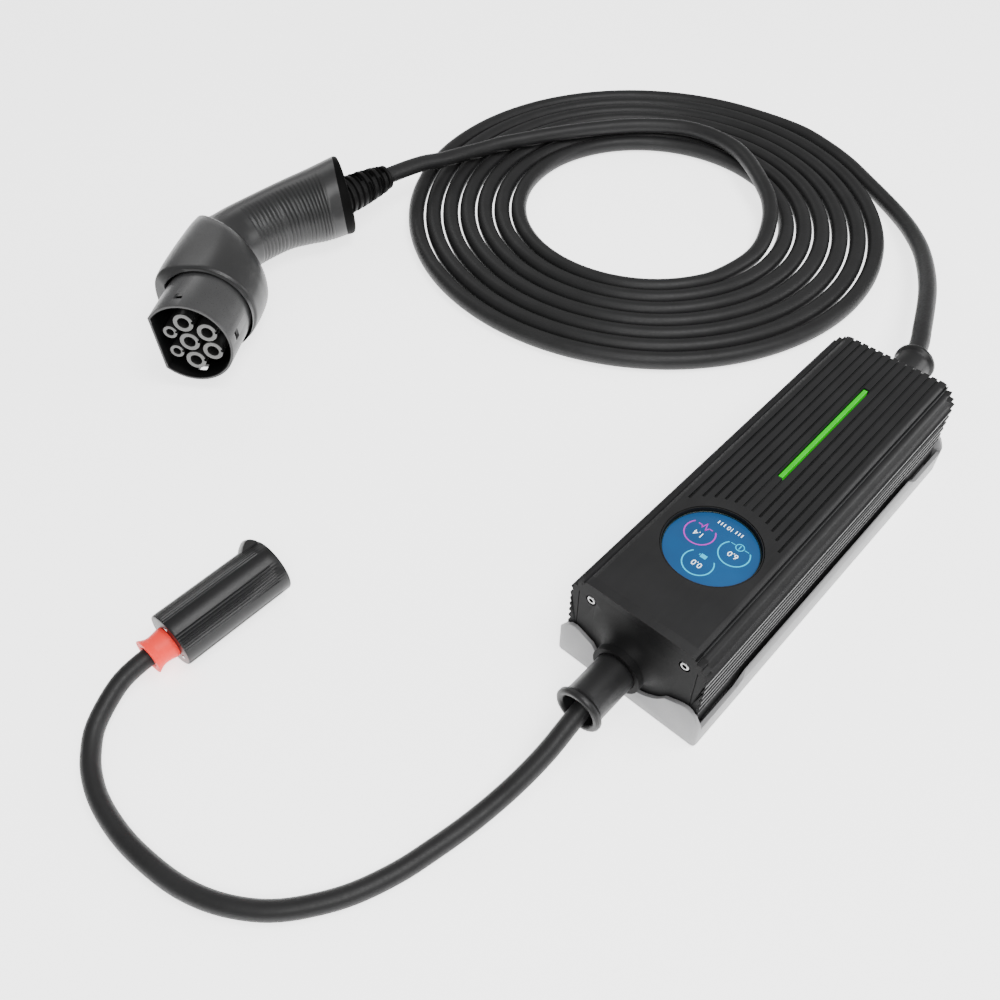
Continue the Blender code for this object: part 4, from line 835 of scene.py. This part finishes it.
# Coupler
COUPLER_FRAME = matrix_of(COUPLER_PLACE, Vector((-1, 0, 0)), Vector((0, 0, 1)), Vector((0, 1, 0)))
FLUTE_DEPTH = 0.00045
FLUTE_FIELDS = (0, 72, 144, 216, 288)       # angles round the coupler, in degrees
FLUTE_LINES = (-18, -12, -6, 0, 6, 12, 18)
COUPLER_PROFILE = (             # radius, height, share of the flutes' depth
    (0.0040, 0.0000, 0.0), (0.0144, 0.0000, 0.0), (0.0151, 0.0002, 0.5), (0.0154, 0.0007, 1.0),
    (COUPLER_RADIUS, 0.0014, 1.0), (COUPLER_RADIUS, 0.0200, 1.0), (COUPLER_RADIUS, 0.0400, 1.0),
    (COUPLER_RADIUS, 0.0590, 1.0), (COUPLER_RADIUS, 0.0606, 0.0), (COUPLER_RADIUS, 0.0653, 0.0),
    (0.0153, 0.0658, 0.0), (0.0149, COUPLER_LENGTH, 0.0), (0.0136, COUPLER_LENGTH, 0.0),
    (0.0133, 0.0656, 0.0), (0.0133, 0.0455, 0.0),
)
LATCH_ANGLE = math.radians(45)
LATCH_PATH = (                  # height, rise over the coupler's side
    (0.0548, -0.0006), (0.0562, 0.0006), (0.0578, 0.0018), (0.0594, 0.0028), (0.0608, 0.0032),
    (0.0620, 0.0031), (0.0632, 0.0024), (0.0642, 0.0013), (0.0652, 0.0002), (0.0655, -0.0006),
)


def flute(angle):
    """How deep the flutes are at an angle round the coupler."""
    depth = 0.0
    for middle in FLUTE_FIELDS:
        off = (math.degrees(angle) - middle + 180) % 360 - 180
        for line in FLUTE_LINES:
            depth = max(depth, 1 - abs(off - line) / 2.0)
    return depth


def make_coupler_shell():
    rings = [[COUPLER_FRAME @ polar(radius - FLUTE_DEPTH * share * flute(t), t, height)
              for t in angles(360)] for radius, height, share in COUPLER_PROFILE]
    shell = piece("fluted_shell", loft(rings, closed_ends=False), COUPLER)
    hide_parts("coupler_shell", "coupler_back_cover")
    return shell


def make_latch():
    """The latch's ear, with painted shade on its sides for its dark opening."""
    out, side = polar(1, LATCH_ANGLE, 0), polar(1, LATCH_ANGLE + math.pi / 2, 0)
    sections = []
    for k, (height, rise) in enumerate(LATCH_PATH):
        half = 0.0034 if k in (0, len(LATCH_PATH) - 1) else 0.0040
        top = rise + 0.0004
        corners = []
        for across, high in ((-half, -0.0006), (-half, top - 0.0003), (-half + 0.0006, top),
                             (half - 0.0006, top), (half, top - 0.0003), (half, -0.0006)):
            corners.append(COUPLER_FRAME @ (out * (COUPLER_RADIUS + high) + side * across
                                            + Vector((0, 0, height))))
        sections.append(corners)
    latch = piece("latch_loop", loft(sections), COUPLER, 50)
    latch.data.materials.append(BLACK_AND_SHADE)
    # Sides facing across get painted shade.
    across = (COUPLER_FRAME.to_3x3() @ side).normalized()
    for face in latch.data.polygons:
        if abs(face.normal.dot(across)) > 0.9:
            face.material_index = 1
    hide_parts("coupler_latch")
    return latch


def make_collar():
    profile = [(0.0052, 0.0), (0.0086, 0.0), (0.0087, -0.0020), (0.0082, -0.0045),
               (0.0079, -0.0072), (0.0081, -0.0092), (0.0089, -0.0112), (0.0097, -0.0126),
               (0.0098, -COLLAR_LENGTH), (0.0062, -COLLAR_LENGTH), (0.0055, -0.0118),
               (0.0052, -0.0100)]
    collar = piece("waisted_collar", lathe(profile, COUPLER_FRAME, 72, 0.0003), CORAL,
                   50)
    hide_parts("coupler_collar")
    return collar


# Box
BOX_HALF_WIDTH = 0.0394
SIDE_RIBS_TOP = 0.0122          # below the box's top
SIDE_RIBS = 12.95               # how many pitches they go down
SIDE_RIB_PITCH = 0.00235
SIDE_RIB_DEPTH = 0.00045        # in the part
DRAWN_DEPTH = 0.0012            # of each second one here
FIN_VALLEYS = (                 # inset and drop of the corner fins' valleys, and how they move
    (0.0077, 0.0015, 0.0002, 0.0008), (0.0060, 0.0032, 0.0009, 0.0008),
    (0.0028, 0.0060, 0.0012, 0.0009), (0.0009, 0.0094, 0.0011, 0.0003),
)
NEAR = 0.00002


def deepen(shape):
    """Draws each second side rib deep and broad, and the valleys of the corner fins deeper."""
    for vert in shape.verts:
        side = math.copysign(1, vert.co.x)
        inset, drop = BOX_HALF_WIDTH - abs(vert.co.x), BOX_TOP - vert.co.z
        place = (drop - SIDE_RIBS_TOP) / SIDE_RIB_PITCH
        if -0.02 < place < SIDE_RIBS and -NEAR < inset < SIDE_RIB_DEPTH + NEAR:
            rib = int(place + 0.02)
            deep = rib % 2 == 0 or place - rib < 0.02
            vert.co.x = side * (BOX_HALF_WIDTH - (DRAWN_DEPTH if deep else 0.0))
        for at, below, across, down in FIN_VALLEYS:
            if abs(inset - at) < NEAR and abs(drop - below) < NEAR:
                vert.co.x -= side * across
                vert.co.z -= down


def box_piece(name, source, material, target=None, sign=1):
    """A copy of a part of the box with its ribs deepened; a cap's inner face is set to target."""
    mesh = NODES[source].data.copy()
    shape = bmesh.new()
    shape.from_mesh(mesh)
    bmesh.ops.remove_doubles(shape, verts=shape.verts, dist=0.00001)
    deepen(shape)
    if target is not None:
        plane = sign * max(sign * vert.co.y for vert in shape.verts if abs(vert.co.x) > 0.030)
        for vert in shape.verts:
            if abs(vert.co.y - plane) < 0.00005:
                vert.co.y = target
    bmesh.ops.dissolve_limit(shape, angle_limit=math.radians(0.5), verts=shape.verts,
                             edges=shape.edges)
    weights = shape.edges.layers.float.new("bevel_weight_edge")
    for edge in shape.edges:
        flat = target is None or all(abs(vert.co.y - target) < 0.00015 for vert in edge.verts)
        edge[weights] = 0.0 if flat or edge.calc_face_angle(0.0) < math.radians(40) else 1.0
    shape.to_mesh(mesh)
    shape.free()
    mesh.materials.clear()
    made = piece(name, mesh, material, 30 if target is not None else 10)
    if target is not None:
        mesh.materials.append(HOUSING)
        for face in mesh.polygons:
            high = face.center.z > BOX_TOP - 0.0040
            outside = abs(face.center.x) > BOX_HALF_WIDTH - 0.0030
            if abs(face.normal.y) < 0.3 and (high or outside):
                face.material_index = 1
        soften(made, 0.0003, "WEIGHT").harden_normals = True
    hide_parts(source)
    return made


def make_box():
    """The housing, and a cap close against each of its ends."""
    low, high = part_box("housing")
    box_piece("finned_housing", "housing", HOUSING)
    box_piece("moulded_front_cap", "front_end_cap", CAP, low[1] - 0.00002, 1)
    box_piece("moulded_rear_cap", "rear_end_cap", CAP, high[1] + 0.00002, -1)


SCREW_SOCKET = 0.00125
SCREW_PROFILE = (               # radius, distance out from the cap
    (0.0, -0.0011), (SCREW_SOCKET, -0.0011), (0.0013, 0.0), (0.0021, 0.0), (0.0024, -0.0003),
    (0.0024, -0.0030), (0.0014, -0.0032), (0.0014, -0.0140), (0.0, -0.0146),
)


def make_screws():
    """The screws of the two caps, with painted shade in their sockets."""
    for end, sign in (("front", -1), ("rear", 1)):
        for k in range(1, 5):
            name = f"{end}_cap_screw_{k}"
            low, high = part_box(name)
            outer = low[1] if sign < 0 else high[1]
            centre = Vector(((low[0] + high[0]) / 2, outer, (low[2] + high[2]) / 2))
            axis = Vector((0, sign, 0))
            place = matrix_of(centre, Vector((1, 0, 0)), Vector((0, 0, -sign)), axis)
            screw = piece(f"socket_screw_{end}_{k}", lathe(SCREW_PROFILE, place, 32, 0.0001), STEEL)
            screw.data.materials.append(BLACK_AND_SHADE)
            # Socket faces get painted shade.
            for face in screw.data.polygons:
                offset = face.center - centre
                across = (offset - axis * offset.dot(axis)).length
                if across < SCREW_SOCKET + 0.00003 and offset.dot(axis) > -0.002:
                    face.material_index = 1
            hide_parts(name)


# Display
PANEL_RADIUS = 0.0236
PANEL_THICKNESS = 0.0011
MARK_LEVEL = DISPLAY_TOP + 0.00002
MARK_LIFT = 0.00003
GAUGE_CENTRES = (
    (0.0100, DISPLAY_Y + 0.0050), (-0.0100, DISPLAY_Y + 0.0050), (0.0, DISPLAY_Y - 0.0110),
)
GAUGE_RADIUS = 0.0078
GAUGE_WIDTH = 0.00065
GAUGE_ARC = (140, 400)          # degrees
SETTING_PLACE = (0.0, DISPLAY_Y + 0.0170)


def flat_arc(radius, width, start, end, centre, steps=64):
    """A thin raised arc on the panel."""
    points, faces = [], []
    for k in range(steps + 1):
        turn = math.radians(start + (end - start) * k / steps)
        for reach in (radius - width / 2, radius + width / 2):
            for z in (MARK_LEVEL, MARK_LEVEL + MARK_LIFT):
                points.append((centre[0] + reach * math.cos(turn),
                               centre[1] + reach * math.sin(turn), z))
    for k in range(steps):
        a, b = 4 * k, 4 * k + 4
        faces += [(a, a + 2, b + 2, b), (a + 1, b + 1, b + 3, a + 3), (a, b, b + 1, a + 1),
                  (a + 2, a + 3, b + 3, b + 2)]
    faces += [(0, 1, 3, 2), (4 * steps, 4 * steps + 2, 4 * steps + 3, 4 * steps + 1)]
    return points, faces


def marks(name, material, shapes):
    """One piece from several flat shapes."""
    points, faces = [], []
    for some_points, some_faces in shapes:
        start = len(points)
        points += some_points
        faces += [tuple(start + i for i in face) for face in some_faces]
    piece(name, mesh_from(points, faces), material, 0)


def flat_shape(outline, centre):
    """A thin raised polygon; the outline's own up is towards the front of the box."""
    count = len(outline)
    points = [(centre[0] - x, centre[1] - y, MARK_LEVEL + lift)
              for lift in (0, MARK_LIFT) for x, y in outline]
    faces = [tuple(range(count)), tuple(range(count, 2 * count))]
    faces += [(i, (i + 1) % count, count + (i + 1) % count, count + i) for i in range(count)]
    return points, faces


def oblong(half_width, half_height, centre):
    """A thin raised oblong."""
    x, y = half_width, half_height
    return flat_shape([(-x, -y), (x, -y), (x, y), (-x, y)], centre)


def line_shapes(path, width, centre):
    """A polyline as thin raised bars."""
    made = []
    for a, b in zip(path, path[1:]):
        a, b = Vector(a), Vector(b)
        along = (b - a).normalized() * width / 2
        across = Vector((-along.y, along.x))
        made.append(flat_shape([tuple(a - along - across), tuple(b + along - across),
                                tuple(b + along + across), tuple(a - along + across)], centre))
    return made


def number(text, size, centre, name):
    """A plain number on the panel, upright when seen from the rear of the box."""
    font = bpy.data.curves.new(name, "FONT")
    font.body = text
    font.size = size
    font.align_x = "CENTER"
    font.align_y = "CENTER"
    font.extrude = 0.00002
    holder = placed(name, font)
    mesh = evaluated(holder)
    bpy.data.objects.remove(holder, do_unlink=True)
    mesh.materials.clear()
    mesh.transform(Matrix.Translation((*centre, MARK_LEVEL)) @ Matrix.Rotation(math.pi, 4, "Z"))
    piece(name, mesh, WHITE, 0)


def make_display():
    """The lit panel and its rim, three gauges with signs and readings, and the setting."""
    place = Matrix.Translation((0, DISPLAY_Y, 0))
    top, low = DISPLAY_TOP, DISPLAY_TOP - PANEL_THICKNESS
    profile = [(0, top), (PANEL_RADIUS, top), (PANEL_RADIUS, low), (0, low)]
    panel = piece("lit_panel", lathe(profile, place, 96, 0.0002), PANEL)
    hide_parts("display_window")
    profile = [(0.0237, top + 0.0004), (0.0242, top + 0.0004), (0.0242, top - 0.0010),
               (0.0237, top - 0.0010)]
    piece("panel_rim", lathe(profile, place, 96, 0.00015), TEAL)

    right, left, lower = GAUGE_CENTRES
    cyan = [flat_arc(GAUGE_RADIUS, GAUGE_WIDTH, *GAUGE_ARC, centre) for centre in (right, lower)]
    sign = (right[0], right[1] + 0.0052)
    cyan.append(flat_arc(0.0021, 0.0005, 0, 360, sign, 32))
    cyan += line_shapes([(0.0, 0.0011), (0.0, -0.0011)], 0.0005, sign)
    cyan += line_shapes([(-0.0049, 0.0), (-0.0029, 0.0)], 0.0004, sign)
    cyan += line_shapes([(0.0029, 0.0), (0.0049, 0.0)], 0.0004, sign)
    sign = (lower[0], lower[1] + 0.0048)
    cyan.append(oblong(0.0016, 0.0012, sign))
    cyan.append(oblong(0.0002, 0.0006, (sign[0] - 0.0022, sign[1])))
    marks("cyan_gauges", CYAN, cyan)
    magenta = [flat_arc(GAUGE_RADIUS, GAUGE_WIDTH, *GAUGE_ARC, left)]
    magenta += line_shapes([(-0.0040, 0.0), (-0.0022, 0.0), (-0.0012, 0.0022), (0.0002, -0.0022),
                            (0.0012, 0.0014), (0.0020, 0.0), (0.0038, 0.0)], 0.0005,
                           (left[0], left[1] + 0.0050))
    marks("magenta_gauge", MAGENTA, magenta)

    for name, text, centre in (("reading_one", "6.0", right), ("reading_two", "1.4", left),
                               ("reading_three", "0.0", lower)):
        number(text, 0.0046, (centre[0], centre[1] - 0.0010), name)
    number("10", 0.0036, SETTING_PLACE, "setting")
    ticks = []
    for k in (-4, -3, -2, 2, 3, 4):
        ticks += line_shapes([(k * 0.0017, -0.0008), (k * 0.0017, 0.0008)], 0.0005, SETTING_PLACE)
    marks("setting_ticks", WHITE, ticks)


def make_light():
    """The lit bar, a little narrower and lower than its slot."""
    low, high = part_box("light_bar")
    half = (high[0] - low[0]) / 2 - 0.0006
    middle = (high[0] + low[0]) / 2
    rings = []
    for inset, z in ((0.0, low[2]), (0.0, high[2] - 0.0005), (0.0003, high[2] - 0.0003)):
        x = half - inset
        near, far = low[1] + inset + 0.0003, high[1] - inset - 0.0003
        rings.append([Vector((middle + across, along, z))
                      for across, along in ((-x, near), (x, near), (x, far), (-x, far))])
    made = piece("lit_bar", loft(rings), LIGHT, 0)
    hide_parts("light_bar")


def make_cords():
    """The two cords with the pieces on their ends."""
    supply, supply_length = make_supply_lead()
    vehicle, vehicle_length = make_vehicle_lead()
    on_vehicle = [make_connector(), make_shroud(), make_carrier(), make_end_cap(), make_boot()]
    on_vehicle += [NODES[name] for name in NODES
                   if name.startswith("contact_") and name != "contact_carrier"]
    on_supply = [make_coupler_shell(), make_latch(), make_collar()]
    on_supply += [NODES[name] for name in NODES
                  if name.startswith(("coupler_pin", "coupler_screw"))]
    on_supply.append(NODES["coupler_insert"])


def make_scene():
    make_camera()
    make_cords()
    make_box()
    make_screws()
    make_display()
    make_light()
    dress("wall_bracket", BRACKET, 0.0005)
    for name in ("front_cable_sleeve", "rear_cable_sleeve"):
        dress(name, SLEEVE, 0.0003)
    for name in ("front_gasket", "rear_gasket", "display_seal_ring"):
        dress(name, BLACK_AND_SHADE, 0)
    dress("display_panel", COMPONENT, 0)
    dress("coupler_insert", COMPONENT, 0.0002)
    for name in NODES:
        if name.startswith("coupler_screw"):
            dress(name, STEEL, 0.0001)
        elif name.startswith(("contact_", "coupler_pin_")) and name != "contact_carrier":
            dress(name, CONTACT, 0)
        elif name.endswith("_board"):
            dress(name, BOARD, 0)
        elif name.endswith(("_block", "_capacitor", "_sensor_ring")) or name.startswith("relay_"):
            dress(name, COMPONENT, 0)
        elif name.endswith(("_conductors", "_transformer")) and name != "connector_conductors":
            dress(name, CONTACT, 0)


# Floor and lights
LAMPS = (                       # name, place, aim, size in metres, power in watts
    ("key", (0.4, 0.1, 1.5), (-0.1, 0.0, 0.0), 0.8, 22.0),
    ("side", (1.1, 1.3, 0.60), (-0.1, 0.1, 0.0), 0.8, 12.0),
    ("back", (-1.5, 0.5, 1.0), (-0.35, -0.1, 0.0), 0.6, 3.0),
    ("front", (0.35, -0.55, 0.80), (-0.35, -0.1, 0.0), 0.30, 5.5),
)


def make_stage():
    mesh = mesh_from([(-4, -4, 0), (4, -4, 0), (4, 4, 0), (-4, 4, 0)], [(0, 1, 2, 3)])
    floor = placed("floor", mesh)
    floor.location.z = -0.0002
    made, shader = shader_of("pale floor", 0.9, specular=0.1)
    tree = made.node_tree
    shades = ramp(tree, noise(tree, 4.0), (0.95, 0.95, 0.95), (0.97, 0.97, 0.97))
    tree.links.new(shades, shader.inputs["Base Color"])
    shader.inputs["Emission Color"].default_value = (1, 1, 1, 1)
    shader.inputs["Emission Strength"].default_value = 2.2
    mesh.materials.append(made)
    world = bpy.data.worlds.new("soft studio")
    bpy.context.scene.world = world
    world.use_nodes = True
    sky = world.node_tree.nodes["Background"]
    sky.inputs["Color"].default_value = (1, 1, 1, 1)
    sky.inputs["Strength"].default_value = 0.55
    for name, place, aim, size, power in LAMPS:
        data = bpy.data.lights.new(name, "AREA")
        data.size = size
        data.energy = power
        lamp = placed(name, data)
        lamp.location = place
        lamp.rotation_euler = (Vector(aim) - Vector(place)).to_track_quat("-Z", "Y").to_euler()


make_scene()
make_stage()
